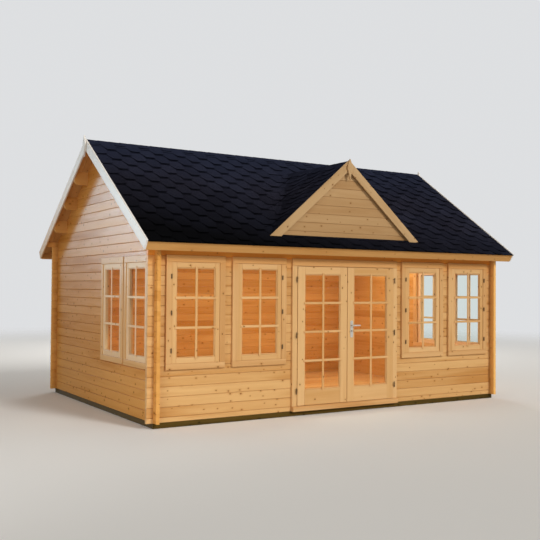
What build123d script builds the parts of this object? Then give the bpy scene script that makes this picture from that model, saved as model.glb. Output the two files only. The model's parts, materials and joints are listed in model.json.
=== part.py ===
from build123d import *
import os
from math import cos, radians, sin, tan

# Log cabin with a double glazed door, paired windows and a closed dormer on a saddle roof.
# Millimetres, Z up. The origin is on the ground under the middle of the walls, and the front faces -Y.

# Fits
SEAT = 0.3  # gap left between fixed pieces
OVERRUN = 50.0  # how far a cut runs past what it cuts

# Log walls
WALL_DEPTH = 3624.0  # over the outer faces of the front and rear walls
LOG_THICKNESS = 44.0
LOG_COURSE = 114.0  # height of one log
LOG_END = 80.0  # log end past the wall that it crosses
LOG_BEVEL = 7.0  # bevel under a log's weather side, which makes the V joint
FRONT_COURSES = 18  # whole logs over the half log that starts the front and rear walls
PLATE_EDGE = 45.0  # outer edge height of the bevelled wall plate
PLATE_END = 176.0  # wall plate past the gable wall, under the roof's overhang
SILL_COURSES = 5  # whole logs under the windows
WINDOW_COURSES = 11  # logs cut out for a window

# Foundation and floor
FOUNDATION_HEIGHT = 60.0
FOUNDATION_WIDTH = 70.0
INNER_BEARERS = 5
FLOOR_THICKNESS = 26.0
FLOOR_MARGIN = 8.0  # floor edge to the logs

# Windows
WINDOW_WIDTH = 757.0  # over the casing
WINDOW_PAIR_GAP = 97.0
DOOR_TO_WINDOW = 89.0
WINDOW_TO_CORNER = 90.0  # casing to the inner face of the gable wall
SIDE_WINDOW_TO_CORNER = 43.0
SIDE_PAIR_GAP = 30.0
CASING_PROUD = 30.0
INNER_CASING_PROUD = 20.0
JAMB_FACE = 72.0
HEAD_FACE = 80.0
SILL_FACE = 68.0
JAMB_COVER = 38.0  # casing lapped over the logs at the sides
SILL_COVER = 38.0
HEAD_COVER = 10.0
SASH_THICKNESS = 44.0
SASH_RECESS = 8.0  # sash face behind the casing face
SASH_STILE = 58.0
SASH_RAIL = 64.0
GLASS_THICKNESS = 6.0

# Double door
DOOR_FRAME_WIDTH = 1680.0
DOOR_JAMB_FACE = 70.0
DOOR_HEAD_FACE = 92.0
THRESHOLD_HEIGHT = 62.0
THRESHOLD_NOSE = 30.0  # threshold in front of the casing
STOP_WIDTH = 15.0  # rebate that the leaves close against
LEAF_GAP = 5.0
MEETING_GAP = 7.0
LEAF_THICKNESS = 44.0
LEAF_PROUD = 6.0  # leaf face in front of the casing face
LEAF_STILE = 106.0
LEAF_TOP_RAIL = 97.0
LEAF_BOTTOM_RAIL = 193.0

# Lift-off hinges of the door
HINGE_RADIUS = 6.0
HINGE_STANDOFF = 9.0  # axis in front of the leaf face
HINGE_KNUCKLE = 32.0
HINGE_PIN_RADIUS = 3.0
HINGE_PIN_CLEARANCE = 0.25
HINGE_AXIAL_GAP = 1.0
HINGE_REACH = 16.0  # axis past the edge of the opening, over the jamb's face
HINGE_WEB_WIDTH = 14.0  # web in over the jamb or the leaf
HINGE_WEB_HEIGHT = 12.0
BARREL_SIDES = 8  # flats of a hinge barrel and of the lever's neck
HINGE_HEIGHT_SHARES = (0.105, 0.505, 0.905)  # of the leaf's height

# Lock plates and lever handle
LOCK_PLATE_WIDTH = 42.0
LOCK_PLATE_HEIGHT = 217.0
LOCK_PLATE_THICKNESS = 4.0
LEVER_HEIGHT = 985.0  # over the threshold
LEVER_BACKSET = 65.0  # from the meeting edge of its leaf
LEVER_TO_PLATE_TOP = 62.0
SPINDLE_RADIUS = 4.5
SPINDLE_CLEARANCE = 0.3
LEVER_NECK_RADIUS = 9.0
LEVER_NECK_LENGTH = 46.0
LEVER_NECK_GAP = 0.5
LEVER_LENGTH = 112.0
LEVER_DEPTH = 11.0  # across the front of the plate
LEVER_ROOT_HEIGHT = 19.0
LEVER_TIP_HEIGHT = 14.0
LEVER_TIP_BEVEL = 4.0
LOCK_PLATE_BEVEL = 10.0

# Roof
ROOF_SLOPE = 34.5  # degrees
EAVES_OVERHANG = 231.0
GABLE_OVERHANG = 201.0
ROOF_BOARD_THICKNESS = 19.0
SHINGLE_THICKNESS = 6.0
SHINGLE_DRIP = 12.0  # shingles past the eaves board
RIDGE_CAP_WIDTH = 125.0  # on each slope
BARGE_COVER = 14.0  # verge board over the shingles
EAVES_BOARD_HEIGHT = 107.0  # square to the slope
BARGE_WIDTH = 120.0
TRIM_THICKNESS = 20.0
PURLIN_WIDTH = 50.0
PURLIN_HEIGHT = 145.0
PURLIN_FIRST = 490.0  # from the ridge
PURLIN_SPACING = 440.0
PURLINS_PER_SLOPE = 3
PURLIN_ROUNDING = 55.0
FINIAL_HEIGHT = 285.0
FINIAL_WIDTH = 95.0
FINIAL_RISE = 45.0  # over the apex of the verge boards
FINIAL_SHOULDER_SHARE = 0.38

# Dormer
DORMER_WIDTH = 2386.0  # over the feet of its barge boards
DORMER_SLOPE = 40.7  # degrees
DORMER_SETBACK = 167.0  # front of its barge boards behind the eaves board
DORMER_BARGE_WIDTH = 105.0
DORMER_OVERHANG = 24.0  # dormer roof boards past its boarded face
DORMER_GABLE_THICKNESS = 28.0
DORMER_FINIAL_HEIGHT = 270.0
DORMER_FINIAL_RISE = 14.0

# Derived layout
WALL_WIDTH = DOOR_FRAME_WIDTH + 2 * (
    DOOR_TO_WINDOW + 2 * WINDOW_WIDTH + WINDOW_PAIR_GAP + WINDOW_TO_CORNER + LOG_THICKNESS
)
HALF_WIDTH = WALL_WIDTH / 2
HALF_DEPTH = WALL_DEPTH / 2
WALL_BASE = FOUNDATION_HEIGHT
HALF_COURSE = LOG_COURSE / 2
QUARTER_COURSE = LOG_COURSE / 4
OPENING_BOTTOM = WALL_BASE + SILL_COURSES * LOG_COURSE + HALF_COURSE
OPENING_TOP = OPENING_BOTTOM + WINDOW_COURSES * LOG_COURSE
PLATE_BOTTOM = WALL_BASE + HALF_COURSE + FRONT_COURSES * LOG_COURSE

SLOPE_TAN = tan(radians(ROOF_SLOPE))
SLOPE_COS = cos(radians(ROOF_SLOPE))
SLOPE_SIN = sin(radians(ROOF_SLOPE))
DORMER_TAN = tan(radians(DORMER_SLOPE))
DORMER_COS = cos(radians(DORMER_SLOPE))
EAVES_REACH = HALF_DEPTH + EAVES_OVERHANG
VERGE_REACH = HALF_WIDTH + GABLE_OVERHANG
BOARD_REACH = VERGE_REACH - TRIM_THICKNESS - SEAT
BOARD_RISE = ROOF_BOARD_THICKNESS / SLOPE_COS
SHINGLE_RISE = SHINGLE_THICKNESS / SLOPE_COS
BOARD_DEPTH = EAVES_REACH - (TRIM_THICKNESS + SEAT) * SLOPE_COS

FRAME_BOTTOM = OPENING_BOTTOM - SILL_COVER
FRAME_TOP = OPENING_TOP + HEAD_COVER
DOOR_INNER = DOOR_FRAME_WIDTH / 2 - DOOR_JAMB_FACE
LEAF_BOTTOM = WALL_BASE + THRESHOLD_HEIGHT + LEAF_GAP
LEAF_TOP = FRAME_TOP - DOOR_HEAD_FACE - LEAF_GAP
LEAF_FRONT = -HALF_DEPTH - CASING_PROUD - LEAF_PROUD
LEAF_BACK = LEAF_FRONT + LEAF_THICKNESS
LEAF_OUTER = DOOR_INNER - LEAF_GAP
LEAF_INNER = MEETING_GAP / 2
HINGE_X = DOOR_INNER + HINGE_REACH
HINGE_Y = LEAF_FRONT - HINGE_STANDOFF
HINGE_HEIGHTS = [LEAF_BOTTOM + s * (LEAF_TOP - LEAF_BOTTOM) for s in HINGE_HEIGHT_SHARES]
LEVER_X = LEAF_INNER + LEVER_BACKSET
LEVER_Z = WALL_BASE + THRESHOLD_HEIGHT + LEVER_HEIGHT

nodes = {}


def underside(y):
    """Height of the roof boards' lower face at a distance from the ridge line."""
    return PLATE_BOTTOM + PLATE_EDGE + (HALF_DEPTH - abs(y)) * SLOPE_TAN


def board_top(y):
    return underside(y) + BOARD_RISE


def shingle_top(y):
    return board_top(y) + SEAT + SHINGLE_RISE


def barge_top(y):
    return shingle_top(y) + BARGE_COVER / SLOPE_COS


def block(x0, x1, y0, y1, z0, z1):
    """A squared timber between two corners."""
    size = (x1 - x0, y1 - y0, z1 - z0)
    return Pos((x0 + x1) / 2, (y0 + y1) / 2, (z0 + z1) / 2) * Box(*size)


def along_x(points, x0, x1):
    """An outline in Y and Z drawn out from x0 to x1."""
    face = make_face(Polyline(*[(x0, y, z) for y, z in points], close=True))
    return extrude(face, amount=x1 - x0, dir=(1, 0, 0))


def along_y(points, y0, y1):
    """An outline in X and Z drawn out from y0 to y1."""
    face = make_face(Polyline(*[(x, y0, z) for x, z in points], close=True))
    return extrude(face, amount=y1 - y0, dir=(0, 1, 0))


def along_z(points, z0, z1):
    """An outline in X and Y drawn out from z0 to z1."""
    face = make_face(Polyline(*[(x, y, z0) for x, y in points], close=True))
    return extrude(face, amount=z1 - z0, dir=(0, 0, 1))


def under_roof():
    """The space below both slopes of the roof boards, which trims what stands under them."""
    reach = EAVES_REACH + OVERRUN
    outline = [
        (-reach, underside(reach) - SEAT),
        (0, underside(0) - SEAT),
        (reach, underside(reach) - SEAT),
        (reach, -OVERRUN),
        (-reach, -OVERRUN),
    ]
    return along_x(outline, -VERGE_REACH - OVERRUN, VERGE_REACH + OVERRUN)


def over_slope(height, side):
    """Everything under one slope of a roof layer, out to the other side of the ridge."""
    reach = side * (EAVES_REACH + OVERRUN)
    outline = [
        (reach, height(reach) + SEAT),
        (0, height(0) + SEAT),
        (0, -OVERRUN),
        (reach, -OVERRUN),
    ]
    return along_x(outline, -VERGE_REACH, VERGE_REACH)


def log_notches(run, near, nominal):
    """Cuts above and below the middle half of a log where another wall's log crosses it."""
    half = LOG_THICKNESS / 2 + SEAT
    reach = HALF_WIDTH + HALF_DEPTH
    keep_low = nominal + QUARTER_COURSE + SEAT / 2
    keep_high = nominal + 3 * QUARTER_COURSE - SEAT / 2
    bands = ((nominal - OVERRUN, keep_low), (keep_high, nominal + LOG_COURSE + OVERRUN))
    if run == "x":
        return [block(near - half, near + half, -reach, reach, low, high) for low, high in bands]
    return [block(-reach, reach, near - half, near + half, low, high) for low, high in bands]


def log(run, outward, end, nominal, low, high):
    """One planed log of a wall: bevelled on its weather side and notched where it crosses the corners.

    nominal is the base of the whole course, and low and high are this log's own faces.
    """
    face = outward * (HALF_DEPTH if run == "x" else HALF_WIDTH)
    inner = face - outward * LOG_THICKNESS
    edge = face - outward * LOG_BEVEL
    top = high - SEAT
    section = [
        (inner, low),
        (edge, low),
        (face, low + LOG_BEVEL),
        (face, top),
        (inner, top),
    ]
    timber = along_x(section, -end, end) if run == "x" else along_y(section, -end, end)
    crossing = (HALF_WIDTH if run == "x" else HALF_DEPTH) - LOG_THICKNESS / 2
    cuts = []
    for near in (-crossing, crossing):
        cuts += log_notches(run, near, nominal)
    return timber - cuts


def eaves_wall(outward):
    """Logs of the front or rear wall in courses, from the half log up to the bevelled plate."""
    end = HALF_WIDTH + LOG_END
    base = WALL_BASE - HALF_COURSE
    logs = [log("x", outward, end, base, WALL_BASE, WALL_BASE + HALF_COURSE)]
    for course in range(1, FRONT_COURSES + 1):
        low = base + course * LOG_COURSE
        logs.append(log("x", outward, end, low, low, low + LOG_COURSE))
    plate_top = underside(HALF_DEPTH - LOG_THICKNESS) + OVERRUN
    plate = log("x", outward, HALF_WIDTH + PLATE_END, PLATE_BOTTOM, PLATE_BOTTOM, plate_top)
    logs.append(plate & under_roof())
    return logs


def gable_wall(outward):
    """Logs of a gable wall, from a whole log up to the ridge, trimmed to the slopes and let in for the purlins."""
    end = HALF_DEPTH + LOG_END
    roof = under_roof()
    pockets = [purlin(y, SEAT, VERGE_REACH) for y in purlin_places()]
    logs = []
    low = WALL_BASE
    while low < underside(0) - SEAT - LOG_BEVEL * 2:
        timber = log("y", outward, end, low, low, low + LOG_COURSE)
        if low + LOG_COURSE > underside(end):
            timber = (timber & roof) - pockets
        logs.append(timber)
        low += LOG_COURSE
    return logs


def purlin_places():
    places = [0]
    for k in range(PURLINS_PER_SLOPE):
        place = PURLIN_FIRST + k * PURLIN_SPACING
        places += [-place, place]
    return places


def purlin(y, growth, end):
    """A roof beam with its top bevelled to the slope, and growth on every side for its pocket."""
    half = PURLIN_WIDTH / 2 + growth
    far = max(abs(y - half), abs(y + half))
    bottom = underside(far) - PURLIN_HEIGHT - growth
    top = SEAT - growth
    outline = [(y - half, bottom), (y + half, bottom), (y + half, underside(y + half) - top)]
    if abs(y) < half:
        outline.append((0, underside(0) - top))
    outline.append((y - half, underside(y - half) - top))
    return along_x(outline, -end, end)


def purlin_beam(y):
    """A purlin whose lower corners are rounded at both ends."""
    end = BOARD_REACH - SEAT
    beam = purlin(y, 0, end)
    lowest = beam.faces().sort_by(Axis.Z)[0]
    return fillet(lowest.edges().filter_by(Axis.Y), PURLIN_ROUNDING)


def solids_of(pieces):
    """Every separate solid of a list of shapes."""
    return [s for piece in pieces for s in piece.solids()]


# Openings of the windows and of the door

def front_window_places():
    inner = DOOR_FRAME_WIDTH / 2 + DOOR_TO_WINDOW + WINDOW_WIDTH / 2
    outer = inner + WINDOW_WIDTH + WINDOW_PAIR_GAP
    return inner, outer


def side_window_places():
    front = -(HALF_DEPTH - LOG_THICKNESS - SIDE_WINDOW_TO_CORNER - WINDOW_WIDTH / 2)
    rear = front + WINDOW_WIDTH + SIDE_PAIR_GAP
    return front, rear


WINDOW_HOLE = WINDOW_WIDTH / 2 - JAMB_COVER + SEAT
DOOR_HOLE = DOOR_FRAME_WIDTH / 2 - JAMB_COVER + SEAT

front_holes = [
    block(-DOOR_HOLE, DOOR_HOLE, -HALF_DEPTH - OVERRUN, -HALF_DEPTH + LOG_THICKNESS + OVERRUN, 0, OPENING_TOP)
]
for place in front_window_places():
    for side in (-1, 1):
        x = side * place
        front_holes.append(
            block(x - WINDOW_HOLE, x + WINDOW_HOLE, -HALF_DEPTH - OVERRUN,
                  -HALF_DEPTH + LOG_THICKNESS + OVERRUN, OPENING_BOTTOM, OPENING_TOP)
        )
side_holes = [
    block(-HALF_WIDTH - OVERRUN, HALF_WIDTH + OVERRUN, y - WINDOW_HOLE, y + WINDOW_HOLE,
          OPENING_BOTTOM, OPENING_TOP)
    for y in side_window_places()
]

# Walls
front_logs = solids_of([timber - front_holes for timber in eaves_wall(-1)])
front_head = [s for s in front_logs if s.center().Z > OPENING_TOP]
front_low = [s for s in front_logs if s.center().Z < OPENING_TOP]
nodes["front_wall_left"] = [s for s in front_low if s.center().X < 0]
nodes["front_wall_right"] = [s for s in front_low if s.center().X > 0]
nodes["front_wall_head"] = front_head
nodes["rear_wall"] = solids_of(eaves_wall(1))
nodes["left_wall"] = solids_of([timber - side_holes for timber in gable_wall(-1)])
nodes["right_wall"] = solids_of([timber - side_holes for timber in gable_wall(1)])


# Foundation and floor

def foundation():
    """Bearers under the walls, and inner ones from front to rear under the floor."""
    out_x = HALF_WIDTH
    out_y = HALF_DEPTH
    top = FOUNDATION_HEIGHT - SEAT
    inner_y = out_y - FOUNDATION_WIDTH - SEAT
    beams = []
    for side in (-1, 1):
        y0, y1 = sorted((side * out_y, side * (out_y - FOUNDATION_WIDTH)))
        beams.append(block(-out_x, out_x, y0, y1, 0, top))
        x0, x1 = sorted((side * out_x, side * (out_x - FOUNDATION_WIDTH)))
        beams.append(block(x0, x1, -inner_y, inner_y, 0, top))
    pitch = (WALL_WIDTH - FOUNDATION_WIDTH) / (INNER_BEARERS + 1)
    for k in range(1, INNER_BEARERS + 1):
        x = -out_x + FOUNDATION_WIDTH / 2 + k * pitch
        beams.append(block(x - FOUNDATION_WIDTH / 2, x + FOUNDATION_WIDTH / 2, -inner_y, inner_y, 0, top))
    return beams


floor_x = HALF_WIDTH - LOG_THICKNESS - FLOOR_MARGIN
floor_y = HALF_DEPTH - LOG_THICKNESS - INNER_CASING_PROUD - FLOOR_MARGIN
nodes["foundation_beams"] = foundation()
nodes["floor_boards"] = [
    block(-floor_x, floor_x, -floor_y, floor_y, FOUNDATION_HEIGHT, FOUNDATION_HEIGHT + FLOOR_THICKNESS)
]


# Windows, made on a wall whose outer face is at y = 0, and then placed

def frame_rail(half, hole, low, high, hole_low, hole_high):
    """A head or sill: casing boards on both faces of the wall, joined by a liner inside the opening."""
    outer = block(-half, half, -CASING_PROUD, -SEAT, low, high)
    inner = block(-half, half, LOG_THICKNESS + SEAT, LOG_THICKNESS + INNER_CASING_PROUD, low, high)
    liner = block(-hole, hole, -CASING_PROUD, LOG_THICKNESS + INNER_CASING_PROUD, hole_low, hole_high)
    return outer + inner + liner


def frame_jamb(side, half, face, low, high):
    """An upright of channel section that takes the ends of the logs in its groove."""
    back = LOG_THICKNESS + INNER_CASING_PROUD
    out = side * half
    lip = side * (half - face)
    groove = side * (half - JAMB_COVER)
    outline = [
        (out, -CASING_PROUD),
        (lip, -CASING_PROUD),
        (lip, back),
        (out, back),
        (out, LOG_THICKNESS + SEAT),
        (groove, LOG_THICKNESS + SEAT),
        (groove, -SEAT),
        (out, -SEAT),
    ]
    return along_z(outline, low, high)


def window_frame():
    half = WINDOW_WIDTH / 2
    hole = half - JAMB_COVER
    sill_top = FRAME_BOTTOM + SILL_FACE
    head_bottom = FRAME_TOP - HEAD_FACE
    sill = frame_rail(half, hole, FRAME_BOTTOM, sill_top, OPENING_BOTTOM + SEAT, sill_top)
    head = frame_rail(half, hole, head_bottom, FRAME_TOP, head_bottom, OPENING_TOP - SEAT)
    jambs = [frame_jamb(s, half, JAMB_FACE, sill_top + SEAT, head_bottom - SEAT) for s in (-1, 1)]
    return [sill, head] + jambs


def glazed_panel(x0, x1, y0, y1, z0, z1, stile, top_rail, bottom_rail):
    """Stiles, rails and the pane of a sash or a door leaf."""
    inner0 = x0 + stile + SEAT
    inner1 = x1 - stile - SEAT
    wood = [
        block(x0, x0 + stile, y0, y1, z0, z1),
        block(x1 - stile, x1, y0, y1, z0, z1),
        block(inner0, inner1, y0, y1, z0, z0 + bottom_rail),
        block(inner0, inner1, y0, y1, z1 - top_rail, z1),
    ]
    middle = (y0 + y1) / 2
    pane = block(inner0, inner1, middle - GLASS_THICKNESS / 2, middle + GLASS_THICKNESS / 2,
                 z0 + bottom_rail + SEAT, z1 - top_rail - SEAT)
    return wood, pane


def window_sash():
    half = WINDOW_WIDTH / 2 - JAMB_FACE - SEAT
    front = -CASING_PROUD + SASH_RECESS
    return glazed_panel(-half, half, front, front + SASH_THICKNESS, FRAME_BOTTOM + SILL_FACE + SEAT,
                        FRAME_TOP - HEAD_FACE - SEAT, SASH_STILE, SASH_RAIL, SASH_RAIL)


def window_group(name, spots):
    """Frames, sashes and panes of a wall's two windows."""
    frame = window_frame()
    wood, pane = window_sash()
    nodes[name + "_window_frames"] = [spot * bar for spot in spots for bar in frame]
    nodes[name + "_window_sashes"] = [spot * bar for spot in spots for bar in wood]
    nodes[name + "_window_glass"] = [spot * pane for spot in spots]


for name, side in (("front_left", -1), ("front_right", 1)):
    window_group(name, [Pos(side * x, -HALF_DEPTH, 0) for x in front_window_places()])
for name, side in (("left", -1), ("right", 1)):
    turn = Rot(0, 0, side * 90)
    window_group(name, [Pos(side * HALF_WIDTH, y, 0) * turn for y in side_window_places()])


# Door frame

def door_jamb(side):
    """A door upright of channel section with the stop that the leaf closes against."""
    face = -HALF_DEPTH
    half = DOOR_FRAME_WIDTH / 2
    back = face + LOG_THICKNESS + INNER_CASING_PROUD
    stop = LEAF_BACK + LEAF_GAP
    out = side * half
    lip = side * DOOR_INNER
    nib = side * (DOOR_INNER - STOP_WIDTH)
    groove = side * (half - JAMB_COVER)
    outline = [
        (out, face - CASING_PROUD),
        (lip, face - CASING_PROUD),
        (lip, stop),
        (nib, stop),
        (nib, back),
        (out, back),
        (out, face + LOG_THICKNESS + SEAT),
        (groove, face + LOG_THICKNESS + SEAT),
        (groove, face - SEAT),
        (out, face - SEAT),
    ]
    return along_z(outline, WALL_BASE + THRESHOLD_HEIGHT + SEAT, FRAME_TOP - DOOR_HEAD_FACE - SEAT)


def door_head():
    half = DOOR_FRAME_WIDTH / 2
    hole = half - JAMB_COVER
    low = FRAME_TOP - DOOR_HEAD_FACE
    rail = Pos(0, -HALF_DEPTH, 0) * frame_rail(half, hole, low, FRAME_TOP, low, OPENING_TOP - SEAT)
    back = -HALF_DEPTH + LOG_THICKNESS + INNER_CASING_PROUD
    end = DOOR_INNER - STOP_WIDTH - SEAT
    stop = block(-end, end, LEAF_BACK + LEAF_GAP, back, low - STOP_WIDTH, low)
    return rail + stop


def door_threshold():
    """A weathered threshold with a bevelled nose, and a low stop behind the leaves."""
    half = DOOR_FRAME_WIDTH / 2
    hole = half - JAMB_COVER
    front = -HALF_DEPTH - CASING_PROUD - THRESHOLD_NOSE
    back = -HALF_DEPTH + LOG_THICKNESS + INNER_CASING_PROUD
    low = WALL_BASE
    top = WALL_BASE + THRESHOLD_HEIGHT
    outline = [
        (front, low),
        (back, low),
        (back, top),
        (LEAF_FRONT, top),
        (front, top - THRESHOLD_NOSE / 2),
    ]
    bar = along_x(outline, -hole, hole)
    ears = block(-half, half, front, -HALF_DEPTH - SEAT, low, top) & along_x(outline, -half, half)
    return bar + ears


nodes["door_jambs"] = [door_jamb(-1), door_jamb(1)]
nodes["door_head"] = [door_head()]
nodes["door_threshold"] = [door_threshold()]


# Door leaves, hinges and handle

def leaf(side):
    x0, x1 = sorted((side * LEAF_INNER, side * LEAF_OUTER))
    return glazed_panel(x0, x1, LEAF_FRONT, LEAF_BACK, LEAF_BOTTOM, LEAF_TOP, LEAF_STILE,
                        LEAF_TOP_RAIL, LEAF_BOTTOM_RAIL)


def frame_hinge(side, z):
    """The lower knuckle, held to the casing by a web, with the pin that carries the leaf."""
    foot = Pos(side * HINGE_X, HINGE_Y, z - HINGE_KNUCKLE)
    barrel = foot * extrude(RegularPolygon(HINGE_RADIUS, BARREL_SIDES), HINGE_KNUCKLE)
    x0, x1 = sorted((side * (HINGE_X + HINGE_PIN_RADIUS), side * (HINGE_X + HINGE_WEB_WIDTH)))
    casing = -HALF_DEPTH - CASING_PROUD - SEAT
    web_low = z - (HINGE_KNUCKLE + HINGE_WEB_HEIGHT) / 2
    web = block(x0, x1, HINGE_Y, casing, web_low, web_low + HINGE_WEB_HEIGHT)
    pin_length = HINGE_KNUCKLE * 2
    pin = Pos(side * HINGE_X, HINGE_Y, z) * Cylinder(HINGE_PIN_RADIUS, pin_length)
    return barrel + web + pin


def leaf_hinge(side, z):
    """The upper knuckle, held to the leaf by a web and bored for the pin."""
    low = z + HINGE_AXIAL_GAP
    high = low + HINGE_KNUCKLE
    foot = Pos(side * HINGE_X, HINGE_Y, low)
    barrel = foot * extrude(RegularPolygon(HINGE_RADIUS, BARREL_SIDES), HINGE_KNUCKLE)
    x0, x1 = sorted((side * (HINGE_X - HINGE_PIN_RADIUS), side * (LEAF_OUTER - HINGE_WEB_WIDTH)))
    web_low = low + (HINGE_KNUCKLE - HINGE_WEB_HEIGHT) / 2
    web = block(x0, x1, HINGE_Y, LEAF_FRONT - SEAT, web_low, web_low + HINGE_WEB_HEIGHT)
    middle = Pos(side * HINGE_X, HINGE_Y, (low + high) / 2)
    bore = middle * Cylinder(HINGE_PIN_RADIUS + HINGE_PIN_CLEARANCE, HINGE_KNUCKLE + OVERRUN)
    return barrel + web - bore


def bar_across(radius, y0, y1, z):
    """A round bar through the leaf at the lever's place."""
    return Pos(LEVER_X, (y0 + y1) / 2, z) * Rot(90, 0, 0) * Cylinder(radius, y1 - y0)


def lock_plate(y0, y1):
    """A long plate with bevelled corners, bored for the spindle."""
    top = LEVER_Z + LEVER_TO_PLATE_TOP
    low = top - LOCK_PLATE_HEIGHT
    half = LOCK_PLATE_WIDTH / 2
    flat = half - LOCK_PLATE_BEVEL
    corners = [
        (-flat, low),
        (flat, low),
        (half, low + LOCK_PLATE_BEVEL),
        (half, top - LOCK_PLATE_BEVEL),
        (flat, top),
        (-flat, top),
        (-half, top - LOCK_PLATE_BEVEL),
        (-half, low + LOCK_PLATE_BEVEL),
    ]
    plate = along_y([(LEVER_X + x, z) for x, z in corners], y0, y1)
    return plate - bar_across(SPINDLE_RADIUS + SPINDLE_CLEARANCE, y0 - OVERRUN, y1 + OVERRUN, LEVER_Z)


def lever(y, outward):
    """A neck off the plate and a flat lever that tapers to a bevelled tip, pointing to the hinges."""
    tip = y + outward * LEVER_NECK_LENGTH
    seat = Plane((LEVER_X, y, LEVER_Z), x_dir=(1, 0, 0), z_dir=(0, outward, 0))
    neck = extrude(seat * RegularPolygon(LEVER_NECK_RADIUS, BARREL_SIDES), LEVER_NECK_LENGTH)
    root = LEVER_ROOT_HEIGHT / 2
    end = LEVER_TIP_HEIGHT / 2
    outline = [
        (-root, -root),
        (0, -root),
        (LEVER_LENGTH - LEVER_TIP_BEVEL, -end),
        (LEVER_LENGTH, LEVER_TIP_BEVEL - end),
        (LEVER_LENGTH, end - LEVER_TIP_BEVEL),
        (LEVER_LENGTH - LEVER_TIP_BEVEL, end),
        (0, root),
        (-root, root),
    ]
    places = [(LEVER_X + x, LEVER_Z + z) for x, z in outline]
    return neck + along_y(places, *sorted((tip, tip - outward * LEVER_DEPTH)))


PLATE_FRONT = LEAF_FRONT - SEAT - LOCK_PLATE_THICKNESS
PLATE_BACK = LEAF_BACK + SEAT + LOCK_PLATE_THICKNESS

left_wood, left_pane = leaf(-1)
right_wood, right_pane = leaf(1)
spindle_hole = bar_across(SPINDLE_RADIUS + SPINDLE_CLEARANCE, LEAF_FRONT - OVERRUN, LEAF_BACK + OVERRUN, LEVER_Z)
right_wood[0] = right_wood[0] - spindle_hole

nodes["left_door_leaf"] = left_wood
nodes["left_door_glass"] = [left_pane]
nodes["right_door_leaf"] = right_wood
nodes["right_door_glass"] = [right_pane]
nodes["door_frame_hinges"] = [frame_hinge(side, z) for side in (-1, 1) for z in HINGE_HEIGHTS]
nodes["left_door_hinges"] = [leaf_hinge(-1, z) for z in HINGE_HEIGHTS]
nodes["right_door_hinges"] = [leaf_hinge(1, z) for z in HINGE_HEIGHTS]
nodes["lock_plates"] = [lock_plate(PLATE_FRONT, LEAF_FRONT - SEAT), lock_plate(LEAF_BACK + SEAT, PLATE_BACK)]
lever_front = PLATE_FRONT - LEVER_NECK_GAP
lever_back = PLATE_BACK + LEVER_NECK_GAP
nodes["door_handle"] = [
    bar_across(SPINDLE_RADIUS, lever_front, lever_back, LEVER_Z) + lever(lever_front, -1) + lever(lever_back, 1)
]


# Roof

def slope_layer(side, low, rise, eave, reach):
    """A layer of one roof slope, cut plumb at the ridge and square to the slope at the eaves."""
    ridge = side * SEAT
    edge = side * eave
    heel = edge - side * rise * SLOPE_COS * SLOPE_SIN
    outline = [
        (ridge, low(ridge)),
        (heel, low(heel)),
        (edge, low(edge) + rise),
        (ridge, low(ridge) + rise),
    ]
    return along_x(outline, -reach, reach)


def shingle_base(y):
    return board_top(y) + SEAT


def ridge_cap():
    """Shingles folded over the ridge."""
    low = SEAT * 2
    outline = []
    for y in (-RIDGE_CAP_WIDTH, 0, RIDGE_CAP_WIDTH):
        outline.append((y, shingle_top(y) + low))
    for y in (RIDGE_CAP_WIDTH, 0, -RIDGE_CAP_WIDTH):
        outline.append((y, shingle_top(y) + low + SHINGLE_RISE))
    return along_x(outline, -BOARD_REACH, BOARD_REACH)


def square_to_slope(side, y, z, depth):
    """The point at a depth under (y, z), going into the roof at right angles to its slope."""
    return (y - side * depth * SLOPE_SIN, z - depth * SLOPE_COS)


def barge(gable, side):
    """A verge board that stands over the shingles, cut square at the eaves and plumb at the ridge."""
    x0, x1 = sorted((gable * VERGE_REACH, gable * (VERGE_REACH - TRIM_THICKNESS)))
    ridge = side * SEAT
    over_boards = (barge_top(0) - board_top(0)) * SLOPE_COS
    edge = side * (EAVES_REACH + over_boards * SLOPE_SIN)
    outline = [
        (ridge, barge_top(ridge)),
        (edge, barge_top(edge)),
        square_to_slope(side, edge, barge_top(edge), BARGE_WIDTH),
        (ridge, barge_top(ridge) - BARGE_WIDTH / SLOPE_COS),
    ]
    return along_x(outline, x0, x1)


def eaves_board(side):
    """The board nailed to the square ends of the roof boards, between the verge boards."""
    front = side * EAVES_REACH
    back = side * (EAVES_REACH - TRIM_THICKNESS * SLOPE_COS)
    outline = [
        (front, board_top(front)),
        square_to_slope(side, front, board_top(front), EAVES_BOARD_HEIGHT),
        square_to_slope(side, back, board_top(back), EAVES_BOARD_HEIGHT),
        (back, board_top(back)),
    ]
    return along_x(outline, -BOARD_REACH, BOARD_REACH)


def kite(height, width, rise, apex):
    """Outline of a finial board: a short point up and a long point down."""
    top = apex + rise
    shoulder = top - FINIAL_SHOULDER_SHARE * height
    return [(0, top), (width / 2, shoulder), (0, top - height), (-width / 2, shoulder)]


def gable_finial(gable):
    x0, x1 = sorted((gable * (VERGE_REACH + SEAT), gable * (VERGE_REACH + SEAT + TRIM_THICKNESS)))
    return along_x(kite(FINIAL_HEIGHT, FINIAL_WIDTH, FINIAL_RISE, barge_top(0)), x0, x1)


nodes["purlins"] = [purlin_beam(y) for y in purlin_places()]
for name, side in (("front", -1), ("rear", 1)):
    nodes[name + "_roof_boards"] = [slope_layer(side, underside, BOARD_RISE, BOARD_DEPTH, BOARD_REACH)]
    nodes[name + "_roof_shingles"] = [
        slope_layer(side, shingle_base, SHINGLE_RISE, EAVES_REACH + SHINGLE_DRIP, BOARD_REACH)
    ]
    nodes[name + "_eaves_board"] = [eaves_board(side)]
nodes["ridge_cap"] = [ridge_cap()]
for name, gable in (("left", -1), ("right", 1)):
    nodes[name + "_barge_boards"] = [barge(gable, side) for side in (-1, 1)]
    nodes[name + "_finial"] = [gable_finial(gable)]


# Dormer

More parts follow.
